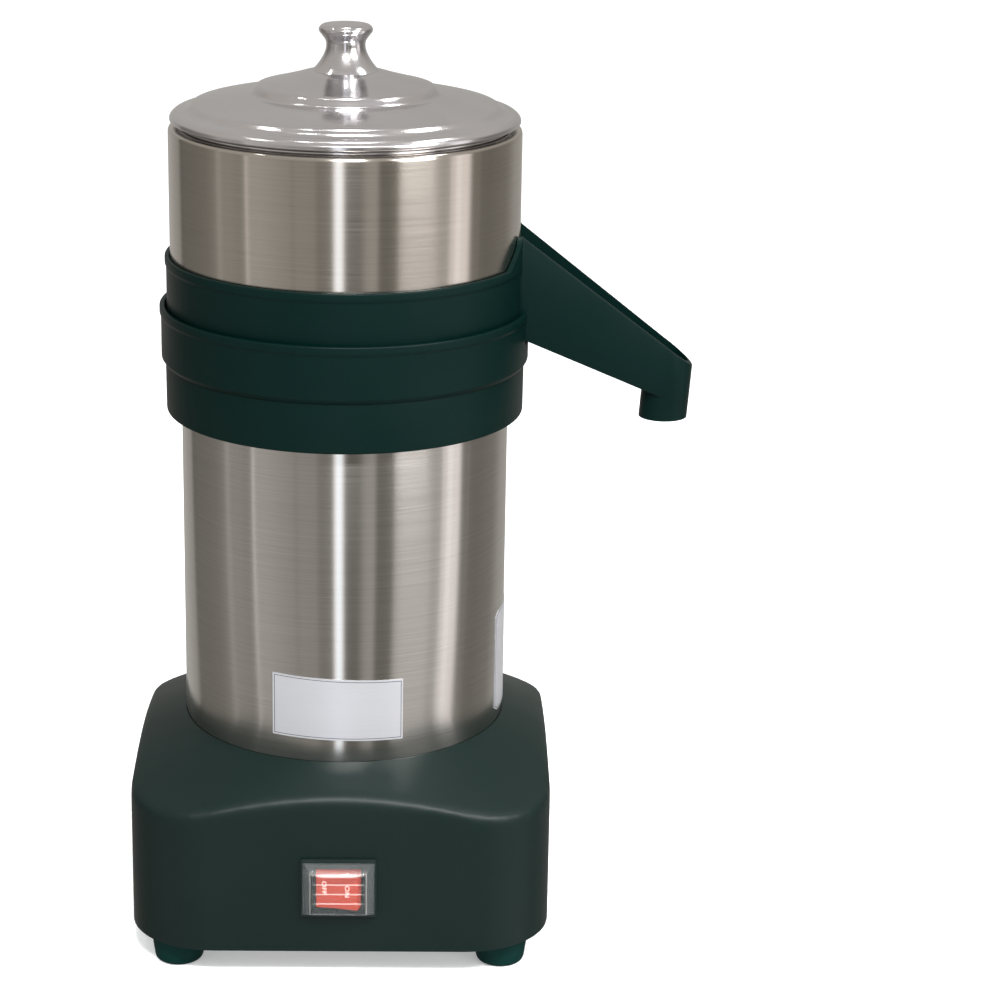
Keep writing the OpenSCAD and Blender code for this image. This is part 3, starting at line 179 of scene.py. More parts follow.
def brushed(name, colour, dull, roughness, anisotropic, lines=(2, 2, 900)):
    f = Finish(name)
    streaks = f.noise(1.0, 4.0, lines, 0.7)
    broad = f.noise(1.0, 2.0, (9, 9, 130))
    cloudy = f.noise(9, 3.0)
    marks = f.ramp(f.noise(1.0, 2.0, (24, 24, 1500), 0.6), 0.66, 0.82)
    return f.surface(
        Base_Color=f.mix((streaks - 0.5) * 1.5 + cloudy * 0.8 + broad * 0.2, dull, colour),
        Metallic=1.0,
        Roughness=roughness + (streaks - 0.5) * 0.10 + (cloudy - 0.5) * 0.03 + marks * 0.06,
        Anisotropic=anisotropic, Anisotropic_Rotation=0.25,
        Normal=f.bump(streaks + marks * 0.4, 0.16, 0.00003))


def turnedMetal(name, colour, dull, roughness):        # fine grooves round the vertical axis
    f = Finish(name)
    where = f.node("ShaderNodeTexCoord", out="Object")
    flat = f.node("ShaderNodeVectorMath", {"operation": "MULTIPLY"}, {0: where, 1: (1, 1, 0)})
    radius = f.node("ShaderNodeVectorMath", {"operation": "LENGTH"}, {0: flat}, out="Value")
    grooves = f.node("ShaderNodeTexNoise", {"noise_dimensions": "1D"},
                     {"W": radius, "Scale": 2600, "Detail": 3.0})
    cloudy = f.noise(22, 4.0)
    specks = f.ramp(f.noise(420, 3.0), 0.66, 0.8)
    return f.surface(
        Base_Color=f.mix(cloudy * 0.7 + grooves * 0.3, dull, colour),
        Metallic=1.0,
        Roughness=roughness + (cloudy - 0.5) * 0.1 + grooves * 0.05 + specks * 0.12,
        Normal=f.bump(grooves + specks * 0.6 + cloudy * 3.0, 0.35, 0.00002))


def plated(name, colour, dull, roughness):     # zinc plate and plain sheet
    f = Finish(name)
    spangle = f.node("ShaderNodeTexVoronoi", {}, {"Vector": f.place(), "Scale": 260.0})
    cloudy = f.noise(40, 4.0)
    return f.surface(
        Base_Color=f.mix(cloudy * 0.6 + spangle * 0.6, dull, colour),
        Metallic=1.0,
        Roughness=roughness + (cloudy - 0.5) * 0.2,
        Normal=f.bump(spangle + cloudy, 0.2, 0.00005))


def glossy(name, colour, dull, roughness, coat=0.0):
    f = Finish(name)
    cloudy = f.noise(30, 3.0)
    scratches = f.ramp(f.noise(1.0, 2.0, (900, 60, 300), 0.6), 0.62, 0.75)
    return f.surface(
        Base_Color=f.mix(cloudy, dull, colour),
        Roughness=roughness + (cloudy - 0.5) * 0.08 + scratches * 0.1,
        Coat_Weight=coat, Coat_Roughness=0.08,
        Normal=f.bump(cloudy + scratches * 0.2, 0.2, 0.00008))


def castMetal(name, colour, dull, roughness):
    f = Finish(name)
    grain = f.noise(500, 5.0, rough=0.7)
    cloudy = f.noise(30, 3.0)
    return f.surface(
        Base_Color=f.mix(grain * 0.5 + cloudy * 0.5, dull, colour),
        Metallic=0.9,
        Roughness=roughness + (grain - 0.5) * 0.25,
        Normal=f.bump(grain, 0.5, 0.00012))


def stacked(name):     # lamination: thin sheets, one on the other
    f = Finish(name)
    sheets = f.node("ShaderNodeTexWave", {"bands_direction": "Z"},
                    {"Vector": f.place(), "Scale": 320.0, "Distortion": 0.3})
    rust = f.ramp(f.noise(70, 5.0), 0.55, 0.75)
    return f.surface(
        Base_Color=f.mix(rust, (0.10, 0.10, 0.11), (0.16, 0.09, 0.06)),
        Metallic=0.8,
        Roughness=0.45 + sheets * 0.15,
        Normal=f.bump(sheets, 0.5, 0.0001))


def wound(name):       # varnished copper wire
    f = Finish(name)
    turns = f.node("ShaderNodeTexWave", {"wave_type": "RINGS", "rings_direction": "Z"},
                   {"Vector": f.place(), "Scale": 300.0, "Distortion": 1.5, "Detail": 2.0})
    layers = f.noise(1.0, 3.0, (40, 40, 900))
    return f.surface(
        Base_Color=f.mix(turns * 0.5 + layers * 0.5, (0.17, 0.05, 0.02), (0.62, 0.24, 0.09)),
        Metallic=0.75,
        Roughness=0.3 + layers * 0.2,
        Normal=f.bump(turns + layers, 0.8, 0.0003))


coverLook = {
    "faceX": 0.0150, "faceZ": 0.0119,       # half the flat face each way
    "centre": 0.054,                # its centre's height
    "soft": 0.0004,                 # how soon the slope starts past the face
    "line": 0.0006,                 # painted highlight: a pale line inside the face's edge
    "plane": 0.1231,                # the face stands this far from the middle of the base
    "rib": (0.00006, 0.0002),       # painted highlight on the ribs: paler from here to here above that plane
    "ribEnd": (0.014, 0.011),       # a rib is clear at its end, and full from here inwards
    "glareLow": 0.0093, "glareHigh": 0.0106, "glareSoft": 0.0012, "glareX": 0.0125,     # where a lamp's glare is painted on as a pale band
}


def clearPlastic(name, s):
    f = Finish(name)
    where = f.node("ShaderNodeTexCoord", out="Object")
    x, y, z = (f.node("ShaderNodeSeparateXYZ", {}, {"Vector": where}, out=k) for k in range(3))
    across = f.node("ShaderNodeMath", {"operation": "ABSOLUTE"}, {0: x})
    upward = z - s["centre"]
    away = f.node("ShaderNodeMath", {"operation": "ABSOLUTE"}, {0: upward})
    slope, edge = (f.node("ShaderNodeMath", {"operation": "MAXIMUM"}, {
        0: f.ramp(across, s["faceX"] - inner, s["faceX"] + s["soft"] - inner),
        1: f.ramp(away, s["faceZ"] - inner, s["faceZ"] + s["soft"] - inner)}) for inner in (0, s["line"]))
    # painted highlight: a pale, more opaque line just inside the face's edge
    rim = edge * (1 - slope)
    # painted highlight on the ribs: paler and less clear
    rib = f.ramp(y * -1.0, s["plane"] + s["rib"][0], s["plane"] + s["rib"][1])
    haze = f.noise(90, 4.0)
    rubbed = f.ramp(f.noise(1.0, 2.0, (120, 120, 900)), 0.55, 0.8)
    # painted glare: a lamp's reflection painted on as a pale, more opaque band across the face
    paintedGlare = (f.ramp(upward, s["glareLow"], s["glareLow"] + s["glareSoft"])
             * f.ramp(upward, s["glareHigh"] + s["glareSoft"], s["glareHigh"])
             * f.ramp(across, s["glareX"], s["glareX"] * 0.6))
    dark = f.mix(haze, (0.13, 0.14, 0.14), (0.22, 0.23, 0.23))
    # painted highlights: the ribs, the edge line and the lamp's glare are mixed pale into the cover's grey
    coverColourWithHighlights = f.mix(rib + paintedGlare + rim * 0.6, dark, (0.80, 0.74, 0.72))
    return f.surface(
        Base_Color=coverColourWithHighlights,
        Roughness=0.10 + haze * 0.10 + rubbed * 0.12,
        Alpha=0.05 + slope * 0.13 + rib * f.ramp(across, *s["ribEnd"]) * 0.2 + paintedGlare * (1 - slope) * 0.5
        + rim * 0.14 + haze * 0.03,
        Coat_Weight=0.5, Coat_Roughness=0.05,
        Normal=f.bump(haze, 0.2, 0.0002))


def printed(name, ground, worn, roughness, metallic):     # a bare plate of satin metal or foil
    f = Finish(name)
    cloudy = f.noise(26, 4.0)
    streaks = f.noise(1.0, 2.0, (3, 3, 1100), 0.6)
    return f.surface(
        Base_Color=f.mix(cloudy * 0.6 + streaks * 0.4, ground, worn),
        Metallic=metallic,
        Roughness=roughness + (cloudy - 0.5) * 0.12 + streaks * 0.05,
        Normal=f.bump(streaks + cloudy, 0.15, 0.00004))


finishes = {
    "black_moulding": moulded(
        "blackMoulding", (0.0, 0.0064, 0.0054), (0.0006, 0.0080, 0.0070), 0.42, shine=0.1),
    "base_moulding": moulded(
        "baseMoulding", (0.0, 0.0066, 0.0057), (0.002, 0.0086, 0.0075), 0.46, 700, 0.00008, 0.26),
    "casing_steel": brushed(
        "casingSteel", (0.67, 0.655, 0.63), (0.53, 0.515, 0.485), 0.17, 0.88, (14, 14, 1900)),
    "guard_steel": brushed(
        "guardSteel", (0.62, 0.585, 0.54), (0.51, 0.475, 0.43), 0.17, 0.88, (14, 14, 1900)),
    "strainer_steel": brushed("strainerSteel", (0.66, 0.65, 0.63), (0.5, 0.49, 0.47), 0.28, 0.4),
    "lid_aluminium": turnedMetal("lidAluminium", (0.76, 0.75, 0.765), (0.60, 0.59, 0.61), 0.14),
    "rubber": moulded("blackRubber", (0.0, 0.0155, 0.0135), (0.003, 0.018, 0.016), 0.6, 1400, 0.00009, 0.06),
    "rocker_red": glossy("rockerRed", (0.37, 0.034, 0.013), (0.31, 0.027, 0.010), 0.34, 0.12),
    "clear_cover": clearPlastic("clearCover", coverLook),
    "switch_black": moulded(
        "switchBlack", (0.004, 0.010, 0.009), (0.010, 0.016, 0.015), 0.36, 1800, 0.00003, 0.2),
    "zinc_fasteners": plated("zincFasteners", (0.62, 0.62, 0.62), (0.44, 0.44, 0.45), 0.32),
    "plate_steel": plated("plateSteel", (0.52, 0.53, 0.54), (0.38, 0.39, 0.40), 0.42),
    "die_cast": castMetal("dieCast", (0.55, 0.56, 0.57), (0.36, 0.37, 0.38), 0.5),
    "lamination": stacked("laminationSteel"),
    "copper": wound("windingCopper"),
    "terminal_brass": plated("terminalBrass", (0.74, 0.57, 0.24), (0.55, 0.40, 0.16), 0.3),
    "bearing_steel": turnedMetal("bearingSteel", (0.62, 0.62, 0.64), (0.48, 0.48, 0.50), 0.16),
    "fan_plastic": moulded("fanPlastic", (0.012, 0.012, 0.013), (0.03, 0.03, 0.03), 0.5),
    "capacitor_white": glossy("capacitorWhite", (0.78, 0.78, 0.73), (0.68, 0.67, 0.61), 0.4),
    "nylon": glossy("blockNylon", (0.72, 0.72, 0.68), (0.60, 0.60, 0.55), 0.5),
    "hub_steel": turnedMetal("hubSteel", (0.64, 0.63, 0.62), (0.5, 0.49, 0.48), 0.22),
    "reamer_white": glossy("reamerWhite", (0.60, 0.60, 0.56), (0.52, 0.52, 0.475), 0.32, 0.15),
    "plate_silver": printed("plateSilver", (0.50, 0.505, 0.53), (0.42, 0.425, 0.45), 0.34, 0.6),
    "print_dark": printed("printDark", (0.015, 0.022, 0.045), (0.035, 0.042, 0.065), 0.45, 0.0),
    "letter_pink": glossy("letterPink", (0.88, 0.58, 0.52), (0.80, 0.50, 0.45), 0.4),
}
slotOf = {row["node"]: row["material_slot"] for row in frame["record"]["subparts"]}


def dress(piece, slot):
    piece.data.materials.clear()
    piece.data.materials.append(finishes[slot])


for name, node in nodes.items():
    dress(node, slotOf[name])
print("finishes made and put on the CAD nodes")


# Modelling helpers
def clearSelection():
    if bpy.context.object and bpy.context.object.mode != "OBJECT":
        bpy.ops.object.mode_set(mode="OBJECT")
    bpy.ops.object.select_all(action="DESELECT")


def choose(piece):
    clearSelection()
    piece.select_set(True)
    bpy.context.view_layer.objects.active = piece


def pick(piece, kind, test):       # selects by place or normal, and stays in edit mode
    choose(piece)
    bpy.ops.object.mode_set(mode="EDIT")
    bpy.ops.mesh.select_mode(type=kind)
    bpy.ops.mesh.select_all(action="DESELECT")
    bpy.ops.object.mode_set(mode="OBJECT")
    data = piece.data
    items = {"VERT": data.vertices, "EDGE": data.edges, "FACE": data.polygons}[kind]
    for item in items:
        item.select = bool(test(item))
    bpy.ops.object.mode_set(mode="EDIT")


def middle(piece, edge):
    a, b = (piece.data.vertices[i].co for i in edge.vertices)
    return (a + b) / 2


def modify(piece, kind, **settings):       # adds a modifier and applies it
    choose(piece)
    modifier = piece.modifiers.new(kind, kind)
    for key, value in settings.items():
        setattr(modifier, key, value)
    bpy.ops.object.modifier_apply(modifier=modifier.name)


def cutWith(piece, cutter, operation="DIFFERENCE"):
    modify(piece, "BOOLEAN", object=cutter, operation=operation, solver="EXACT")
    bpy.data.objects.remove(cutter)


def settle(piece):         # puts the place, turn and scale into the mesh
    choose(piece)
    bpy.ops.object.transform_apply(location=True, rotation=True, scale=True)


def smooth(piece, angle):
    choose(piece)
    bpy.ops.object.shade_smooth_by_angle(angle=math.radians(angle))


def block(name, low, high):
    clearSelection()
    size = [b - a for a, b in zip(low, high)]
    bpy.ops.mesh.primitive_cube_add(size=1, location=[(a + b) / 2 for a, b in zip(low, high)], scale=size)
    piece = bpy.context.object
    piece.name = name
    settle(piece)
    return piece


def rod(name, radius, low, high, x=0.0, y=0.0, sides=64):
    clearSelection()
    bpy.ops.mesh.primitive_cylinder_add(
        vertices=sides, radius=radius, depth=high - low, location=(x, y, (low + high) / 2))
    piece = bpy.context.object
    piece.name = name
    settle(piece)
    return piece


# An outline starts part of the way along a straight side, and start in its dictionary says how far
def rounded(points, steps=4):      # each point is (r, z) or (r, z, corner radius), in mm
    line = []
    for i, point in enumerate(points):
        here = Vector(point[:2])
        if len(point) == 2:
            line.append(here * mm)
            continue
        radius = point[2]
        before = Vector(points[i - 1][:2]) - here
        after = Vector(points[i + 1][:2]) - here
        reach = min(before.length, after.length) * 0.49
        a, b = before.normalized(), after.normalized()
        half = a.angle(b) / 2
        length = min(radius / math.tan(half), reach)
        start, end = here + a * length, here + b * length
        for k in range(steps + 1):
            t = k / steps
            line.append((start * (1 - t) ** 2 + here * 2 * t * (1 - t) + end * t ** 2) * mm)
    return line


def drawLoop(name, points):        # a closed line, drawn by extruding one vertex from point to point
    clearSelection()
    bpy.ops.mesh.primitive_plane_add(size=mm)
    piece = bpy.context.object
    piece.name = name
    bpy.ops.object.mode_set(mode="EDIT")
    bpy.ops.mesh.select_mode(type="VERT")
    bpy.ops.mesh.select_all(action="SELECT")
    bpy.ops.mesh.merge(type="CENTER")
    bpy.ops.transform.translate(value=points[0])
    for here, there in zip(points, points[1:] + points[:1]):
        step = [b - a for a, b in zip(here, there)]
        bpy.ops.mesh.extrude_region_move(TRANSFORM_OT_translate={"value": step})
    bpy.ops.mesh.select_all(action="SELECT")
    bpy.ops.mesh.remove_doubles(threshold=1e-6)
    return piece


def lathe(name, line, steps):      # an outline in the XZ plane, spun about Z
    piece = drawLoop(name, [(r, 0, z) for r, z in line])
    bpy.ops.mesh.spin(steps=steps, angle=math.radians(360), center=(0, 0, 0), axis=(0, 0, 1))
    bpy.ops.mesh.select_all(action="SELECT")
    bpy.ops.mesh.remove_doubles(threshold=2e-6)
    bpy.ops.mesh.delete_loose()
    bpy.ops.mesh.select_all(action="SELECT")
    bpy.ops.mesh.normals_make_consistent(inside=False)
    clearSelection()
    return piece


def prism(name, outline, low, high):       # an outline in the XY plane, pushed out from low to high, in mm
    piece = drawLoop(name, [(x * mm, y * mm, low * mm) for x, y in outline])
    bpy.ops.mesh.edge_face_add()
    bpy.ops.mesh.extrude_region_move(TRANSFORM_OT_translate={"value": (0, 0, (high - low) * mm)})
    bpy.ops.mesh.select_all(action="SELECT")
    bpy.ops.mesh.normals_make_consistent(inside=False)
    clearSelection()
    return piece


def turnTo(piece, degrees, place=(0, 0, 0)):       # turned about X, Y and Z, then moved, all in the mesh
    piece.rotation_euler = [math.radians(d) for d in degrees]
    piece.location = place
    settle(piece)
    return piece


def ease(piece, width, segments, angle):       # rounds the edges that turn by more than angle
    modify(piece, "BEVEL", width=width, segments=segments, limit_method="ANGLE",
           angle_limit=math.radians(angle))


def curve(points, steps):      # a smooth line through (r, z) points, in mm
    line = []
    last = len(points) - 1
    for i in range(last):
        a, b, c, d = (Vector(points[min(max(j, 0), last)]) for j in (i - 1, i, i + 1, i + 2))
        for k in range(steps):
            t = k / steps
            line.append((b + (c - a) * (t / 2) + (a * 2 - b * 5 + c * 4 - d) * (t * t / 2)
                         + (b * 3 - a - c * 3 + d) * (t ** 3 / 2)) * mm)
    line.append(Vector(points[-1]) * mm)
    return line


def finishPiece(piece, body, slot, *replaced, angle=35, looks=()):     # looks: its own finishes
    settle(piece)
    smooth(piece, angle)
    if looks:
        for look in looks:
            piece.data.materials.append(finishes[look])
    else:
        dress(piece, slot)
    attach(piece, body)
    if replaced:
        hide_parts(*replaced)


# Base housing: a rounded block cut by a flat cone, which gives the arched creases, then eased
housingSizes = {
    "width": 0.228,
    "cornerRadius": 0.046,
    "blockLow": -0.03,      # the block before it is cut
    "blockHigh": 0.15,
    "lowEdge": 0.0164,
    "casingRadius": 0.0889,
    "topHeight": 0.1157,    # where the cone meets the casing
    "slope": 23.8,
    "coneRadius": 0.4,
    "wall": 0.0032,
    "voxel": 0.002,
    "easing": 18,           # rounds of smoothing everywhere
    "sideEasing": 26,       # and more at the middle of each side
    "sideShare": 0.2,       # it fades out this far towards the corners, as a share of half the width
    "sideLow": 0.04,        # it starts at this height
    "sideFade": 0.02,       # and is full this much higher
    "casingCut": (0.07, 0.2),               # heights that the casing's hole is cut from and to
    "opening": (0.0172, 0.0137, 0.054),     # half width, half height and centre of the switch's hole
    "openingReach": 0.01,
    "inlet": 0.008,         # radius of the hole at the rear
    "inletReach": 0.012,
    "edge": 0.0006,
}


def makeHousing(s):
    half = s["width"] / 2
    piece = block("baseHousing", (-half, -half, s["blockLow"]), (half, half, s["blockHigh"]))
    pick(piece, "EDGE", lambda e: min(abs(middle(piece, e).x), abs(middle(piece, e).y)) > half * 0.9)
    bpy.ops.mesh.bevel(offset=s["cornerRadius"], segments=16, affect="EDGES")
    clearSelection()
    rise = math.tan(math.radians(s["slope"]))
    depth = s["coneRadius"] * rise
    apex = s["topHeight"] + rise * s["casingRadius"]
    bpy.ops.mesh.primitive_cone_add(vertices=256, radius1=s["coneRadius"], depth=depth,
                                    location=(0, 0, apex - depth / 2))
    cone = bpy.context.object
    settle(cone)
    cutWith(piece, cone, "INTERSECT")
    modify(piece, "REMESH", mode="VOXEL", voxel_size=s["voxel"])
    sides = piece.vertex_groups.new(name="sides")
    for v in piece.data.vertices:
        near = 1 - (Vector(v.co[:2]).length - half) / (half * s["sideShare"])
        high = (v.co.z - s["sideLow"]) / s["sideFade"]
        sides.add([v.index], min(1, max(0, near)) * min(1, max(0, high)), "REPLACE")
    modify(piece, "SMOOTH", factor=0.5, iterations=s["easing"])
    modify(piece, "SMOOTH", factor=0.5, iterations=s["sideEasing"], vertex_group="sides")
    pick(piece, "VERT", lambda v: True)
    bpy.ops.mesh.bisect(plane_co=(0, 0, s["lowEdge"]), plane_no=(0, 0, 1), clear_inner=True)
    clearSelection()
    modify(piece, "SOLIDIFY", thickness=s["wall"], offset=-1)
    cutWith(piece, rod("casingCut", s["casingRadius"], *s["casingCut"], sides=160))
    x, z, centre = s["opening"]
    reach = s["openingReach"]
    cutWith(piece, block("switchCut", (-x, -half - reach, centre - z), (x, -half + reach, centre + z)))
    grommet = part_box("cord_grommet")
    inlet = rod("inletCut", s["inlet"], -s["inletReach"], s["inletReach"])
    turnTo(inlet, (90, 0, 0), ((grommet[0].x + grommet[1].x) / 2, half, (grommet[0].z + grommet[1].z) / 2))
    cutWith(piece, inlet)
    ease(piece, s["edge"], 2, 55)
    finishPiece(piece, "motor_unit", "black_moulding", "base_housing", angle=40, looks=["base_moulding"])


makeHousing(housingSizes)
print("base housing made")


# Feet: rubber, turned down to a rounded tread, with a screw recess below
footSizes = {
    "radius": 15, "tread": 12.8, "edge": 4, "neck": 12.5, "shoulder": 16.1, "height": 17.4,
    "recess": 6, "recessDepth": 9, "hole": 2.2, "start": 4, "place": 0.0875,
}


def makeFeet(s):
    line = rounded([
        (s["recess"], s["start"]), (s["recess"], 0, 0.6), (s["tread"], 0, s["edge"]),
        (s["radius"], s["shoulder"], 0.8), (s["neck"], s["shoulder"]), (s["neck"], s["height"], 0.3),
        (s["hole"], s["height"]), (s["hole"], s["recessDepth"]), (s["recess"], s["recessDepth"])], 6)
    corners = (("front_left", -1, -1), ("front_right", 1, -1), ("rear_left", -1, 1), ("rear_right", 1, 1))
    for name, x, y in corners:
        foot = lathe("foot" + name.title().replace("_", ""), line, 64)
        foot.location = (x * s["place"], y * s["place"], 0)
        finishPiece(foot, "motor_unit", "rubber", "foot_" + name, angle=50)


makeFeet(footSizes)
print("feet made")


# Motor casing, cap and seat ring
casingSizes = {"radius": 88.7, "wall": 1.2, "low": 107, "high": 301.4, "edge": 0.3, "start": 5}


def makeCasing(s):
    inner = s["radius"] - s["wall"]
    line = rounded([
        (inner, s["low"] + s["start"]), (inner, s["low"], s["edge"]), (s["radius"], s["low"], s["edge"]),
        (s["radius"], s["high"], s["edge"]), (inner, s["high"])], 2)
    finishPiece(lathe("motorCasing", line, 192), "motor_unit", "casing_steel", "motor_casing")


makeCasing(casingSizes)

capSizes = {
    "low": 289.4, "high": 316.4, "radius": 97, "draft": 0.2, "socket": 88.9, "socketTop": 301.4,
    "edge": 1.1, "start": 5, "ledge": 84.5, "deck": 312.4, "hub": 16, "hubTop": 329.9, "hubLow": 304.4,
    "seal": 13, "sealDepth": 7, "bore": 8,
}


def makeCap(s):
    line = rounded([
        (s["socket"], s["low"] + s["start"]), (s["socket"], s["low"], 0.5),
        (s["radius"] - s["draft"], s["low"], s["edge"]),
        (s["radius"], s["high"], 0.5), (s["hub"], s["high"], 1.5), (s["hub"], s["hubTop"], 0.8),
        (s["seal"], s["hubTop"], 0.5), (s["seal"], s["hubTop"] - s["sealDepth"]),
        (s["bore"], s["hubTop"] - s["sealDepth"]), (s["bore"], s["hubLow"]), (s["hub"], s["hubLow"]),
        (s["hub"], s["deck"]), (s["ledge"], s["deck"]), (s["ledge"], s["socketTop"]),
        (s["socket"], s["socketTop"])], 5)
    finishPiece(lathe("motorCap", line, 160), "motor_unit", "black_moulding", "motor_cap")


makeCap(capSizes)

ringSizes = {
    "low": 316.4, "high": 347, "radius": 99.2, "wall": 3, "foot": 97.6, "bevel": 2.5,
    "bead": 99.9, "beadHeight": 4, "beadSlope": 1.5, "lip": 97, "deck": 327.4, "deckSheet": 3.5,
    "inner": 80, "start": 3, "notch": 21.35, "notchLow": 329.1, "notchHigh": 400, "notchReach": 120,
    "screwRing": 89.6, "boss": 4.2, "head": 3.8, "headDepth": 2, "hole": 2.2,
    "cutLow": 300, "cutHigh": 335,      # the screw's holes are cut from and to
    "edge": 0.4,
}


def makeSeatRing(s):
    inside, across = s["radius"] - s["wall"], s["inner"] + s["wall"]
    under = s["deck"] - s["deckSheet"]
    beadLow = s["high"] - s["beadHeight"]
    line = rounded([
        (s["inner"], s["low"] + s["start"]), (s["inner"], s["low"]), (across, s["low"]), (across, under, 0.5),
        (inside, under, 0.5), (inside, s["low"] + s["bevel"]), (s["foot"] - s["wall"], s["low"]),
        (s["foot"], s["low"], 0.4), (s["radius"], s["low"] + s["bevel"], 1.4),
        (s["radius"], beadLow - s["beadSlope"], 1.5), (s["bead"], beadLow, 1.5),
        (s["bead"], s["high"], 0.9), (s["lip"], s["high"], 0.9), (s["lip"], s["deck"], 0.8),
        (s["inner"], s["deck"])], 4)
    piece = lathe("seatRing", line, 160)
    cutWith(piece, block("notchCut", (0, -s["notch"] * mm, s["notchLow"] * mm),
                         (s["notchReach"] * mm, s["notch"] * mm, s["notchHigh"] * mm)))
    cutLow, cutHigh = s["cutLow"] * mm, s["cutHigh"] * mm
    for k in range(4):
        a = math.radians(45 + 90 * k)
        x, y = s["screwRing"] * mm * math.cos(a), s["screwRing"] * mm * math.sin(a)
        boss = rod("boss", s["boss"] * mm, s["low"] * mm, (s["deck"] - 1) * mm, x, y, 32)
        cutWith(piece, boss, "UNION")
        cutWith(piece, rod("headCut", s["head"] * mm, (s["deck"] - s["headDepth"]) * mm, cutHigh, x, y, 32))
        cutWith(piece, rod("screwCut", s["hole"] * mm, cutLow, cutHigh, x, y, 24))
    ease(piece, s["edge"] * mm, 2, 60)
    finishPiece(piece, "motor_unit", "black_moulding", "seat_ring")


makeSeatRing(ringSizes)
print("casing, cap and seat ring made")


# Guard, lid and knob
guardSizes = {
    "radius": 93.9, "wall": 0.9, "low": 350.2, "high": 443, "shoulder": 3, "mouth": 86.2, "edge": 0.3,
    "start": 4,
}


def makeGuard(s):
    outer, inner, edge = s["radius"], s["radius"] - s["wall"], s["edge"]
    line = rounded([
        (inner, s["low"] + s["start"]), (inner, s["low"], edge), (outer, s["low"], edge),
        (outer, s["high"], s["shoulder"]), (s["mouth"], s["high"], edge),
        (s["mouth"], s["high"] - s["wall"], edge), (inner, s["high"] - s["wall"])], 6)
    finishPiece(lathe("steelGuard", line, 192), "guard", "casing_steel", "steel_guard",
                angle=50, looks=["guard_steel"])


makeGuard(guardSizes)

lidSizes = {
    "radius": 93, "sheet": 1.4, "low": 445.3,
    "bead": 2.1, "beadArc": (200, 80, -15),     # degrees from straight up: from, to, and step
    "skirt": 85.6, "skirtSheet": 1.2, "skirtLow": 436, "skirtHigh": 448.9, "insideHigh": 448.6,
    "seam": (88.3, 449.7),                      # where the sheet turns under into the bead
    "rest": 443.3, "restOut": 88.2,             # the step that sits on the guard
    "hole": 2.7,
    "gap": 0.2,         # between the sheet's under side and the skirt
    "top": [(93.0, 446.6), (92.8, 448.2), (91.7, 449.5), (90.3, 450.5), (88.6, 451.0), (86.8, 451.3),
            (84.8, 451.8), (83.0, 453.0), (81.1, 454.7), (77.9, 455.8), (69.7, 457.6), (60.5, 459.2),
            (54.2, 460.0), (51.0, 460.4), (49.7, 461.2), (48.4, 462.9), (46.9, 464.5), (44.9, 465.3),
            (42.6, 465.8), (35.3, 467.7), (27.9, 469.7), (22.3, 471.4), (17.8, 472.3)],
}


def makeLid(s):
    top = curve(s["top"], 3)
    under = [p - Vector((s["gap"], s["sheet"])) * mm for p in reversed(top)]
    hole = s["hole"] * mm
    middleEdge = [Vector((hole, top[-1].y)), Vector((hole, top[-1].y - s["sheet"] * mm))]
    inside = s["skirt"] - s["skirtSheet"]
    step = s["rest"] + s["skirtSheet"]
    skirt = rounded([
        s["seam"], (s["skirt"], s["skirtHigh"], 0.8), (s["skirt"], step), (s["restOut"], step, 0.3),
        (s["restOut"], s["rest"], 0.3), (s["skirt"], s["rest"]), (s["skirt"], s["skirtLow"], 0.5),
        (inside, s["skirtLow"], 0.5), (inside, s["insideHigh"])], 3)
    centre = Vector((s["radius"] - s["bead"], s["low"] + s["bead"])) * mm
    bead = [centre + Vector((math.sin(a), math.cos(a))) * s["bead"] * mm
            for a in (math.radians(d) for d in range(*s["beadArc"]))]
    within = [p for p in under if p.x < (inside - s["gap"]) * mm]
    line = top + middleEdge + within + skirt[::-1] + bead
    finishPiece(lathe("lidDome", line, 160), "lid", "lid_aluminium", "lid_dome", angle=50)


makeLid(lidSizes)

knobSizes = {
    "low": 472.3, "hole": 2.55, "holeTop": 487.3,
    "side": [(17.8, 0), (14.8, 3.2), (11.75, 8.1), (10.4, 12.3), (10.7, 15.7), (12.5, 18.4), (14.0, 20.4),
             (14.15, 22.1), (12.8, 23.7), (10.7, 24.35), (5.3, 24.6), (0, 24.65)],
}


def makeKnob(s):
    side = curve([(r, s["low"] + z) for r, z in s["side"]], 4)
    core = [Vector(p) * mm for p in ((0, s["holeTop"]), (s["hole"], s["holeTop"]), (s["hole"], s["low"]))]
    finishPiece(lathe("lidKnob", side + core, 96), "lid", "lid_aluminium", "lid_knob", angle=50)


makeKnob(knobSizes)
print("guard, lid and knob made")


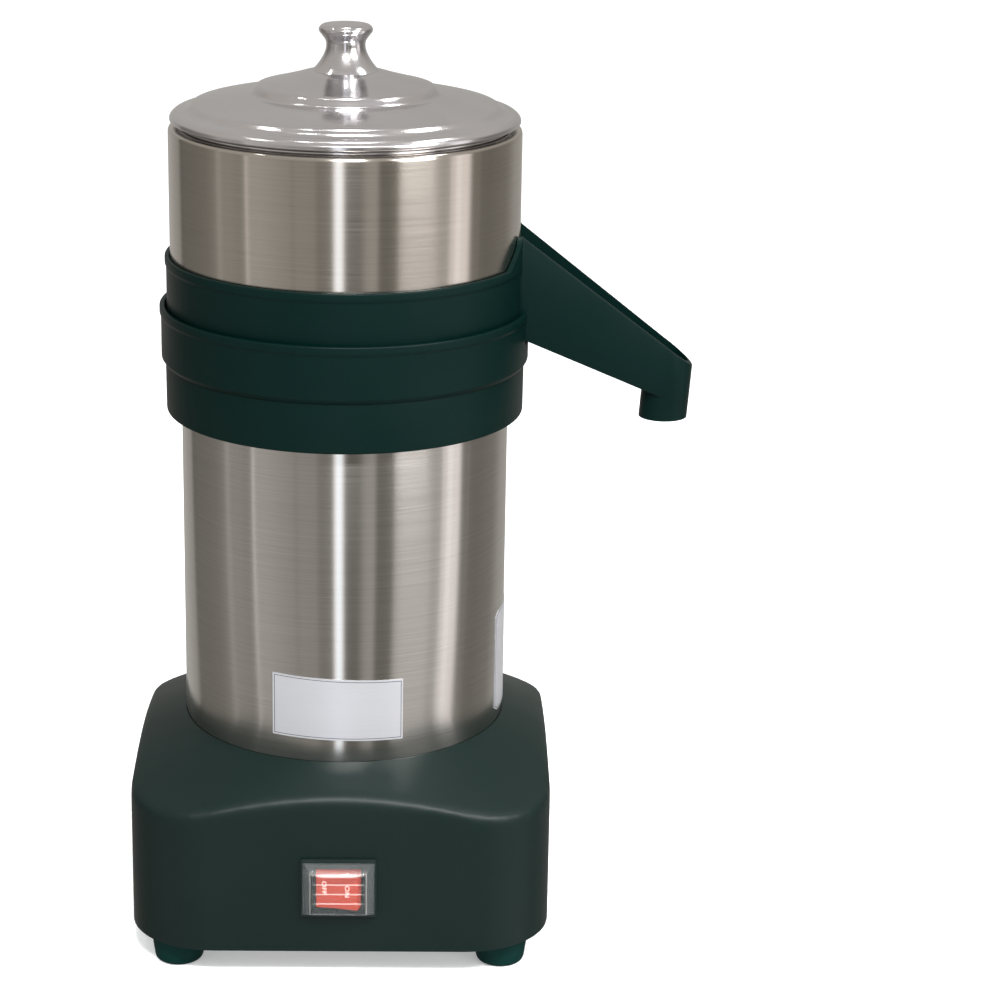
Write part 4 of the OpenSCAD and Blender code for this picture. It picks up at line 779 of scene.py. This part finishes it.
# Juice bowl: turned, with a square-rooted spout that narrows to a leaning round outlet
bowlSizes = {
    "radius": 96, "bead": 96.7, "beadHeight": 4, "beadSlope": 1.5, "inner": 94.2, "rim": 374, "sheet": 1.8,
    "foot": 88, "low": 327.7, "ledge": 348.4, "lowInner": 91.1,
    "floor": 334.4, "rise": 3.2, "floorSheet": 2.6, "chimney": 20, "chimneySheet": 2.5, "chimneyTop": 360,
    "start": (345, 355),        # heights in the chimney where the outline starts and ends
    "root": 20.35, "spoutTop": 387.9, "spoutFall": 73.1, "spoutReach": 189.07, "spoutSheet": 2.6,
    "spoutSpan": (60, 210),     # the spout is cut from a blank that runs from here to here
    "blankHigh": 20,            # and the room in it from one this much higher
    "under": 331.8, "underSlope": 23.7, "outlet": 173.8, "outletRadius": 13.2, "outletLow": 285.24, "lean": 4,
    "tipShare": 0.98,           # the straight sides end just inside the round outlet
    "noseHigh": 130, "noseCut": (-10, 140), "dropCut": (-10, 40),      # along the outlet, from and to
    "drop": (140, 210, 30, 15),         # the outlet's lowest part: from, to, half width and height
    "bowlCut": (200, 500),              # heights that the bowl's round inside is cut from and to
    "ramp": [(21.55, 387.9), (23.95, 384.3), (42.45, 372.0)],          # the wall's rise beside the spout
    "rampDepth": 12, "rampSpan": (40, 110),
    "roomInset": 3.1,           # how far in from the wall the room starts
    "play": 0.05,               # keeps surfaces that are joined from lying in one another
    "edge": 0.5, "spoutEdge": 0.6,
}


def makeNose(s, radius, low, high):        # the leaning cylinder at the spout's end
    nose = rod("nose", radius * mm, low * mm, high * mm, sides=72)
    return turnTo(nose, (0, s["lean"], 0), (s["outlet"] * mm, 0, s["outletLow"] * mm))


def makeSpout(s, inset, nose, under, start, over):     # over: past the top, to cut the room inside
    reach = s["spoutReach"]
    root, tip = s["root"] - inset, (s["outletRadius"] - inset) * s["tipShare"]
    far = reach - s["outletRadius"]
    plan = [(start, root), (s["radius"], root), (s["outlet"], tip), (far, tip),
            (far, -tip), (s["outlet"], -tip), (s["radius"], -root), (start, -root)]
    piece = prism("spout", plan, s["outletLow"], s["spoutTop"] + 10)
    cutWith(piece, nose, "UNION")
    near, past = s["spoutSpan"]
    if over:
        high = s["spoutTop"] + s["blankHigh"]
        side = [(near, high), (past, high)]
    else:
        fall = s["spoutFall"] * (past - s["inner"]) / (reach - s["inner"])
        side = [(near, s["spoutTop"]), (s["inner"], s["spoutTop"]), (past, s["spoutTop"] - fall)]
    slope = math.tan(math.radians(s["underSlope"]))
    side += [(past, under - (past - s["radius"]) * slope), (s["radius"], under), (near, under)]
    profile = turnTo(prism("spoutSide", side, -40, 40), (90, 0, 0))
    cutWith(piece, profile, "INTERSECT")
    return piece


def makeBowl(s):
    r, bead, rim = s["radius"], s["bead"], s["rim"]
    under, beadLow = s["floor"] - s["floorSheet"], s["rim"] - s["beadHeight"]
    pipe, bore = s["chimney"], s["chimney"] - s["chimneySheet"]
    line = rounded([
        (bore, s["start"][0]), (bore, under + s["rise"], 1.5), (s["foot"], under, 0.8),
        (s["foot"], s["low"], 0.4), (r, s["low"], 0.6), (r, beadLow - s["beadSlope"], 1.5),
        (bead, beadLow, 1.5), (bead, rim, 0.9), (s["inner"], rim, 0.9),
        (s["inner"], s["ledge"], 0.4), (s["lowInner"], s["ledge"], 0.4), (s["lowInner"], s["floor"], 2.5),
        (pipe, s["floor"] + s["rise"], 2), (pipe, s["chimneyTop"], 0.8),
        (bore, s["chimneyTop"], 0.8), (bore, s["start"][1])], 4)
    piece = lathe("juiceBowl", line, 160)

    # the spout's outside, cut away inside the bowl, and the outlet's lowest part put back
    nose = makeNose(s, s["outletRadius"], 0, s["noseHigh"])
    outside = makeSpout(s, 0, nose, s["under"], s["lowInner"] + 1, False)
    ease(outside, s["spoutEdge"] * mm, 2, 35)
    low, high = (z * mm for z in s["bowlCut"])
    cutWith(outside, rod("inside", (s["inner"] + s["play"] * 10) * mm, low, high, sides=160))
    drop = makeNose(s, s["outletRadius"] - s["play"], *s["dropCut"])
    start, end, wide, height = s["drop"]
    cutWith(drop, block("lowPart", (start * mm, -wide * mm, s["outletLow"] * mm),
                        (end * mm, wide * mm, (s["outletLow"] + height) * mm)), "INTERSECT")
    cutWith(outside, drop, "UNION")

    # the bowl's wall rises to the spout at both sides of it
    half = s["ramp"] + [(s["ramp"][-1][0], s["ramp"][-1][1] - s["rampDepth"])]
    outline = [(-z, y) for y, z in half] + [(-z, -y) for y, z in reversed(half)]
    wings = turnTo(prism("wings", outline, *s["rampSpan"]), (0, 90, 0))
    near, far = s["inner"] + s["play"], bead - s["play"]
    wallLow, wallHigh = rim - s["sheet"], s["spoutTop"] + 1
    wall = lathe("wall", rounded([(near, wallLow), (far, wallLow), (far, wallHigh), (near, wallHigh)]), 160)
    cutWith(wall, wings, "INTERSECT")
    cutWith(piece, outside, "UNION")
    cutWith(piece, wall, "UNION")

    hole = s["outletRadius"] - s["spoutSheet"]
    cutWith(piece, makeSpout(s, s["spoutSheet"], makeNose(s, hole, *s["noseCut"]), s["floor"],
                             s["lowInner"] - s["roomInset"], True))
    cutWith(piece, makeNose(s, hole - s["play"], *s["dropCut"]))
    ease(piece, s["edge"] * mm, 2, 50)
    finishPiece(piece, "bowl", "black_moulding", "juice_bowl", angle=40)


makeBowl(bowlSizes)
print("juice bowl made")


# Reamer: a ribbed dome, drawn out ring by ring from a star
reamerSizes = {
    "radius": 38, "low": 365.3, "height": 68, "lip": 3,
    "lipEdge": [(0.25, 0.55), (0.55, 0.25)],        # the lip's rounding: how far in and up, twice
    "ribs": 10, "steps": 12, "depth": 4, "round": 0.72, "rings": 26, "tipShare": 0.985,
    "spigot": 14.05, "spigotDepth": 26, "spigotLow": 350,
}


def makeReamer(s):
    count = s["ribs"] * s["steps"]
    clearSelection()
    bpy.ops.mesh.primitive_circle_add(vertices=count, radius=s["radius"] * mm, fill_type="NGON",
                                      location=(0, 0, s["low"] * mm))
    piece = bpy.context.object
    piece.name = "reamerDome"
    settle(piece)
    pick(piece, "VERT", lambda v: True)
    straight = s["lip"] - sum(up for inset, up in s["lipEdge"])
    bpy.ops.mesh.extrude_region_move(TRANSFORM_OT_translate={"value": (0, 0, straight * mm)})
    for inset, up in s["lipEdge"]:
        bpy.ops.mesh.extrude_region_move(TRANSFORM_OT_translate={"value": (0, 0, up * mm)})
        shrink = 1 - inset / s["radius"]
        bpy.ops.transform.resize(value=(shrink, shrink, 1))
    height = s["height"] - s["lip"]
    base = s["low"] + s["lip"]
    for ring in range(s["rings"]):
        t = s["tipShare"] * (ring / (s["rings"] - 1)) ** 0.9
        bpy.ops.mesh.extrude_region_move(TRANSFORM_OT_translate={"value": (0, 0, 0.0001)})
        bpy.ops.object.mode_set(mode="OBJECT")
        dome = math.cos(math.radians(90 * t)) ** s["round"]
        for v in piece.data.vertices:
            if v.select:
                turn = math.atan2(v.co.y, v.co.x) / (2 * math.pi) * s["ribs"]
                wave = 1 - abs(2 * (turn % 1) - 1) ** s["round"]
                radius = (s["radius"] * dome - s["depth"] * wave * math.sqrt(dome)) * mm
                out = Vector(v.co[:2]).normalized().to_3d()
                v.co = out * radius + Vector((0, 0, (base + height * t) * mm))
        bpy.ops.object.mode_set(mode="EDIT")
    tip = height * (1 - s["tipShare"]) * mm
    bpy.ops.mesh.extrude_region_move(TRANSFORM_OT_translate={"value": (0, 0, tip)})
    bpy.ops.mesh.merge(type="CENTER")
    clearSelection()
    pick(piece, "VERT", lambda v: True)
    bpy.ops.mesh.remove_doubles(threshold=1e-6)
    bpy.ops.mesh.normals_make_consistent(inside=False)
    clearSelection()
    socket = rod("socket", s["spigot"] * mm, s["spigotLow"] * mm, (s["low"] + s["spigotDepth"]) * mm, sides=6)
    cutWith(piece, turnTo(socket, (0, 0, 30)))
    finishPiece(piece, "reamer", "reamer_white", "reamer", angle=60)


makeReamer(reamerSizes)
print("reamer made")


# Cord grommet: rubber, with a tapered sleeve at the back
grommetSizes = {
    "bore": 4.2, "flange": 10.6, "sheet": 2, "neck": 7.95, "collar": (8, 7.4), "nose": 6.2,
    "length": 8, "wall": 3.2,
    "rings": (2.5, 4.0, 5.6),       # heights on the sleeve where its rings begin and end
}


def makeGrommet(s):
    back, inside = -s["wall"], -s["wall"] - s["sheet"]
    first, second, third = (s["sheet"] + z for z in s["rings"])
    line = rounded([
        (s["bore"], 0), (s["bore"], inside, 0.4), (s["flange"], inside, 0.6), (s["flange"], back, 0.4),
        (s["neck"], back), (s["neck"], 0), (s["flange"], 0, 0.4), (s["flange"], s["sheet"], 0.9),
        (s["collar"][0], s["sheet"], 0.8), (s["collar"][1], first, 0.5), (s["nose"] + 0.5, first, 0.4),
        (s["nose"] + 0.4, second, 0.4), (s["nose"] + 0.9, second, 0.4),
        (s["nose"] + 0.7, third, 0.4), (s["nose"] + 0.2, third, 0.4),
        (s["nose"], s["sheet"] + s["length"], 0.8), (s["bore"], s["sheet"] + s["length"])], 4)
    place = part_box("cord_grommet")
    half = housingSizes["width"] / 2
    piece = lathe("cordGrommet", line, 64)
    turnTo(piece, (-90, 0, 0), ((place[0].x + place[1].x) / 2, half, (place[0].z + place[1].z) / 2))
    finishPiece(piece, "motor_unit", "rubber", "cord_grommet", angle=45)


makeGrommet(grommetSizes)
print("cord grommet made")


# Switch: black frame, clear cover with four ribs, orange-red rocker with its two words
switchSizes = {
    "front": 114, "centre": 54,
    "frame": (20.3, 16.75, 1.6), "box": (17, 13.5, 24), "pocket": (12.5, 11.3, 12),     # half sizes and depth
    "corner": 1.2, "pinHole": (1.54, 13.01),                # radius and half length
    "cover": (19.35, 15.15, 7.5), "bevel": (4.4, 3.2), "sheet": 0.9,
    "rib": (0.8, 0.5), "ribEnd": 0.6, "ribs": (-5.2, 0.3, 5.8, 11.2),       # width and height, and centres
    "swing": 12.2, "depth": 3, "endOut": 2.9, "middleOut": 1.5, "backDepth": 8, "back": 4, "endDepth": 2,
    "high": 11, "tilt": 11, "pins": (1.5, 12.7),
    "words": [("OFF", -6.9, 0.8), ("ON", 5.6, -0.4)],       # and how far each is from the middle
    "letters": 2.5, "fontShare": 1.38, "letterStretch": 1.3, "letterSheet": 0.06, "letterBold": 0.03,
    "bodyEdge": 0.4, "coverEdge": 0.8, "ribEdge": 0.25, "rockerEdge": 0.5,
}


def onFront(piece, s, out=0.0):        # from a plan with X right, Y up and Z out of the face
    return turnTo(piece, (90, 0, 0), (0, -(s["front"] + out) * mm, s["centre"] * mm))


def oblong(x, y):      # from half its width and half its height
    return [(-x, -y), (x, -y), (x, y), (-x, y)]


def makeSwitchBody(s):
    x, y, z = s["frame"]
    piece = prism("switchBody", oblong(x, y), 0, z)
    corner = Vector((x, y)).length * 0.9 * mm
    pick(piece, "EDGE", lambda e: Vector(middle(piece, e)[:2]).length > corner)
    bpy.ops.mesh.bevel(offset=s["corner"] * mm, segments=4, affect="EDGES")
    clearSelection()
    x, y, z = s["box"]
    cutWith(piece, prism("box", oblong(x, y), -z, 0.4), "UNION")
    x, y, z = s["pocket"]
    top = s["frame"][2]
    cutWith(piece, prism("pocket", oblong(x, y), top - z, top + 2))
    radius, reach = (size * mm for size in s["pinHole"])
    pins = rod("pins", radius, -reach, reach, sides=32)
    cutWith(piece, turnTo(pins, (90, 0, 0), (0, 0, (top - s["depth"]) * mm)))
    ease(piece, s["bodyEdge"] * mm, 2, 40)
    finishPiece(onFront(piece, s), "motor_unit", "switch_black", "switch_body", angle=40)


def makeCover(s):
    def shell(x, y, low, high, bevel):
        piece = prism("shell", oblong(x, y), low, high)
        pick(piece, "FACE", lambda f: f.normal.z > 0.9 and f.center.z > high * 0.9 * mm)
        share = ((x - bevel[0]) / x, (y - bevel[1]) / y, 1)
        bpy.ops.transform.resize(value=share)
        clearSelection()
        return piece
    x, y, z = s["cover"]
    piece = shell(x, y, 0, z, s["bevel"])
    piece.name = "switchCover"
    ease(piece, s["coverEdge"] * mm, 3, 20)
    t = s["sheet"]
    cutWith(piece, shell(x - t, y - t, -0.5, z - t, s["bevel"]))
    wide, high = s["rib"]
    long = x - s["bevel"][0] - s["ribEnd"]
    for centre in s["ribs"]:
        rib = prism("rib", oblong(long, wide / 2), z - 0.4, z + high)
        turnTo(rib, (0, 0, 0), (0, centre * mm, 0))
        ease(rib, s["ribEdge"] * mm, 2, 40)
        cutWith(piece, rib, "UNION")
    finishPiece(onFront(piece, s, s["frame"][2]), "motor_unit", "clear_cover", "switch_cover", angle=40)


def makeWord(s, word, across, up):     # raised letters on one face of the rocker, before it tilts
    clearSelection()
    bpy.ops.object.text_add()
    text = bpy.context.object
    text.name = "word" + word.title()
    text.data.body = word
    text.data.align_x = "CENTER"
    text.data.align_y = "CENTER"
    text.data.size = s["letters"] * s["fontShare"] * mm
    text.data.extrude = s["letterSheet"] * mm
    text.data.offset = s["letterBold"] * mm
    bpy.ops.object.convert(target="MESH")
    text = bpy.context.object
    text.scale = (s["letterStretch"], 1, 1)
    settle(text)
    lean = math.atan2(s["endOut"] - s["middleOut"], 2 * s["swing"])
    out = s["middleOut"] + s["depth"] + abs(across) * math.tan(lean)
    turnTo(text, (0, 0, -90))
    slant = -math.degrees(lean) if across > 0 else math.degrees(lean)
    return turnTo(text, (0, slant, 0), (across * mm, up * mm, out * mm))


def makeRocker(s):
    w, d = 2 * s["swing"], s["depth"]
    side = [(-w, s["endOut"] + d), (0, s["middleOut"] + d), (w, s["endOut"] + d), (w, s["endDepth"]),
            (s["back"], d - s["backDepth"]), (-s["back"], d - s["backDepth"]), (-w, s["endDepth"])]
    piece = prism("rockerKey", side, -s["high"], s["high"])
    cutWith(piece, rod("swing", s["swing"] * mm, -0.02, 0.02, sides=128), "INTERSECT")
    ease(piece, s["rockerEdge"] * mm, 3, 25)
    radius, reach = (size * mm for size in s["pins"])
    cutWith(piece, rod("pins", radius, -reach, reach, sides=32), "UNION")
    words = [makeWord(s, *row) for row in s["words"]]
    turnTo(piece, (90, 0, 0))      # now X is right, Y up and Z out, like the words
    for item in [piece] + words:
        turnTo(item, (0, -s["tilt"], 0), (0, 0, (s["frame"][2] - d) * mm))
        onFront(item, s)
    finishPiece(piece, "rocker", "rocker_red", "rocker", angle=40)
    for word in words:
        finishPiece(word, "rocker", "rocker_red", angle=40, looks=["letter_pink"])


makeSwitchBody(switchSizes)
makeCover(switchSizes)
makeRocker(switchSizes)
print("switch made")


# Two bare plates on the casing, bent round it, each with a fine dark line inside its edge
plateRows = [       # name, outline as (degrees to the right of the front, height), line's inset and width
    ("frontPlate", [(-24.0, 129.0), (22.0, 127.0), (22.0, 161.0), (-24.0, 164.0)], 0.9, 0.35),
    ("sidePlate", [(70.0, 124.0), (73.0, 121.5), (111.0, 121.5), (114.0, 124.0), (114.0, 177.0),
                   (111.0, 180.0), (73.0, 180.0), (70.0, 177.0)], 0.8, 0.5),
]
plateSizes = {"radius": 88.74, "sheet": 0.25, "cuts": 36, "looks": ["plate_silver", "print_dark"]}


def bend(piece, radius):        # X becomes the way round the casing, Z the way out of it
    for v in piece.data.vertices:
        a = v.co.x / (radius * mm)
        out = radius * mm + v.co.z
        v.co = (math.sin(a) * out, -math.cos(a) * out, v.co.y)


def makePlates(rows, s):
    around = math.radians(s["radius"])
    for name, outline, inset, line in rows:
        piece = prism(name, [(a * around, z) for a, z in outline], 0, s["sheet"])
        for look in s["looks"]:
            piece.data.materials.append(finishes[look])
        pick(piece, "FACE", lambda f: f.normal.z > 0.9 and f.center.z > s["sheet"] * 0.9 * mm)
        for thickness, look in ((inset, 1), (line, 0)):
            bpy.ops.mesh.inset(thickness=thickness * mm)
            piece.active_material_index = look
            bpy.ops.object.material_slot_assign()
        clearSelection()
        start, end = outline[0][0], max(a for a, z in outline)
        for k in range(1, s["cuts"]):
            x = (start + (end - start) * k / s["cuts"]) * around * mm
            pick(piece, "VERT", lambda v: True)
            bpy.ops.mesh.bisect(plane_co=(x, 0, 0), plane_no=(1, 0, 0))
        clearSelection()
        bend(piece, s["radius"])
        pick(piece, "VERT", lambda v: True)
        bpy.ops.mesh.normals_make_consistent(inside=False)
        clearSelection()
        settle(piece)
        smooth(piece, 40)
        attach(piece, "motor_unit")


makePlates(plateRows, plateSizes)
print("plates made")


# Floor, lights and the room that shows in the steel
stageSizes = {"floor": 40, "colours": ((0.86, 0.87, 0.875), (0.89, 0.90, 0.905)), "glow": 0.3}


def makeStage(s):
    clearSelection()
    bpy.ops.mesh.primitive_plane_add(size=s["floor"])
    floor = bpy.context.object
    floor.name = "floor"
    f = Finish("paleFloor")
    paper = f.noise(5, 4.0)
    floor.data.materials.append(f.surface(
        Base_Color=f.mix(paper, *s["colours"]), Roughness=0.9,
        Emission_Color=(0.98, 0.99, 1.0, 1.0), Emission_Strength=s["glow"],
        Normal=f.bump(f.noise(700, 2.0), 0.1, 0.0002)))
    floor.visible_glossy = False


makeStage(stageSizes)

lightAim = (0, 0, 0.25)
lightSizes = [      # name, place, size, strength in watts, colour, seen in reflections
    ("keyLight", (-0.9, -1.5, 1.7), (0.9, 0.9), 9, (1.0, 0.99, 0.97), False),
    ("fillLight", (1.3, -1.2, 1.1), (0.8, 1.2), 16, (1.0, 0.97, 0.94), True),
    ("topLight", (0.04, 0.2, 2.0), (0.24, 0.3), 4, (1.0, 1.0, 1.0), True),
    ("rightTopLight", (0.8, 0.1, 1.75), (0.42, 0.2), 4, (1.0, 1.0, 1.0), True),
    ("leftLamp", (-0.33, 0.1, 1.9), (0.05, 0.05), 0.4, (1.0, 1.0, 1.0), True),
    ("farLeftLamp", (-0.76, 0.1, 1.75), (0.07, 0.05), 0.5, (1.0, 1.0, 1.0), True),
    ("creaseLight", (0.1, -1.5, 1.75), (0.5, 0.24), 56, (1.0, 1.0, 1.0), True),
    ("rightWindow", (1.5, -1.2, 1.72), (0.8, 0.2), 38, (1.0, 1.0, 1.0), True),
]


def makeLights(rows):
    for name, place, size, strength, colour, seen in rows:
        bpy.ops.object.light_add(type="AREA", location=place)
        light = bpy.context.object
        light.name = name
        light.data.shape = "RECTANGLE"
        light.data.size, light.data.size_y = size
        light.data.energy = strength
        light.data.color = colour
        light.rotation_euler = (Vector(lightAim) - Vector(place)).to_track_quat("-Z", "Y").to_euler()
        light.visible_camera = False
        light.visible_glossy = seen


makeLights(lightSizes)

roomBands = [       # round the room: the share of a full turn from behind, and how bright it is there
    (0.00, 0.46), (0.08, 0.46), (0.125, 0.38), (0.136, 0.16), (0.15, 0.20), (0.19, 0.22), (0.225, 0.25),
    (0.249, 0.32), (0.253, 0.46), (0.261, 0.46), (0.265, 0.37), (0.285, 0.37), (0.305, 0.33), (0.317, 0.36),
    (0.319, 1.05), (0.3212, 1.05), (0.323, 0.50), (0.345, 0.50), (0.38, 0.43), (0.408, 0.38), (0.4095, 0.31),
    (0.412, 0.31), (0.4135, 0.38), (0.449, 0.36), (0.455, 0.26), (0.482, 0.25), (0.486, 1.75), (0.4985, 1.75),
    (0.503, 0.22), (0.509, 0.15), (0.530, 0.17), (0.542, 0.38), (0.560, 0.46), (0.565, 0.18), (0.596, 0.18),
    (0.602, 0.50), (0.615, 0.64), (0.672, 0.66), (0.682, 0.54), (0.699, 0.54), (0.703, 1.0), (0.712, 0.92),
    (0.715, 1.32), (0.726, 1.3), (0.729, 1.0), (0.735, 1.22), (0.745, 1.08), (0.751, 0.30), (0.768, 0.24),
    (0.770, 0.36), (0.772, 0.22), (0.80, 0.21), (0.86, 0.26), (0.90, 0.40), (1.0, 0.44),
]
roomSizes = {
    "full": 2.0,        # brightness at the top of the curve that holds the bands
    "above": 0.51, "aboveLow": 0.12, "aboveHigh": 0.5,      # overhead, and where it takes over, going up
    "seen": 1.0, "around": 0.78,        # as the camera sees it, and as it lights the scene
    "tints": [(0.08, (1.0, 0.94, 0.845)), (0.22, (1.0, 0.96, 0.90)), (0.35, (1.0, 0.955, 0.93)),
              (0.6, (1.0, 0.93, 0.915)), (0.8, (0.93, 0.985, 1.06))],       # by the height of the curve
}


def makeRoom(bands, s):
    world = bpy.data.worlds.new("room")
    bpy.context.scene.world = world
    world.use_nodes = True
    f = Finish("room", world.node_tree)
    ray = f.node("ShaderNodeTexCoord", out="Generated")
    parts = [f.node("ShaderNodeSeparateXYZ", {}, {"Vector": ray}, out=k) for k in range(3)]
    turn = parts[0].sum("ARCTAN2", parts[0], parts[1] * -1.0) * (0.5 / math.pi) + 0.5
    band = f.node("ShaderNodeFloatCurve", {}, {"Value": turn})
    points = band.socket.node.mapping.curves[0].points
    top = s["full"]
    for place, bright in bands[1:-1]:
        points.new(place, bright / top)
    points[0].location = (0, bands[0][1] / top)
    points[-1].location = (1, bands[-1][1] / top)
    for point in points:
        point.handle_type = "VECTOR"
    band.socket.node.mapping.update()
    above = f.ramp(parts[2], s["aboveLow"], s["aboveHigh"])
    bright = band * top * (1 - above) + above * s["above"]
    seen, mirrored = (f.node("ShaderNodeLightPath", out=k) for k in ("Is Camera Ray", "Is Glossy Ray"))
    tint = f.node("ShaderNodeValToRGB", {"stops": s["tints"]}, {"Fac": band})
    colour = f.mix(mirrored, (0.99, 0.995, 1.0), tint)
    around = seen * s["seen"] + (1 - seen) * s["around"]
    strength = mirrored * bright + (1 - mirrored) * around
    back = f.node("ShaderNodeBackground", {}, {"Color": colour, "Strength": strength})
    f.node("ShaderNodeOutputWorld", {}, {"Surface": back})


makeRoom(roomBands, roomSizes)
bpy.context.scene.view_settings.view_transform = "Standard"
print("stage made")
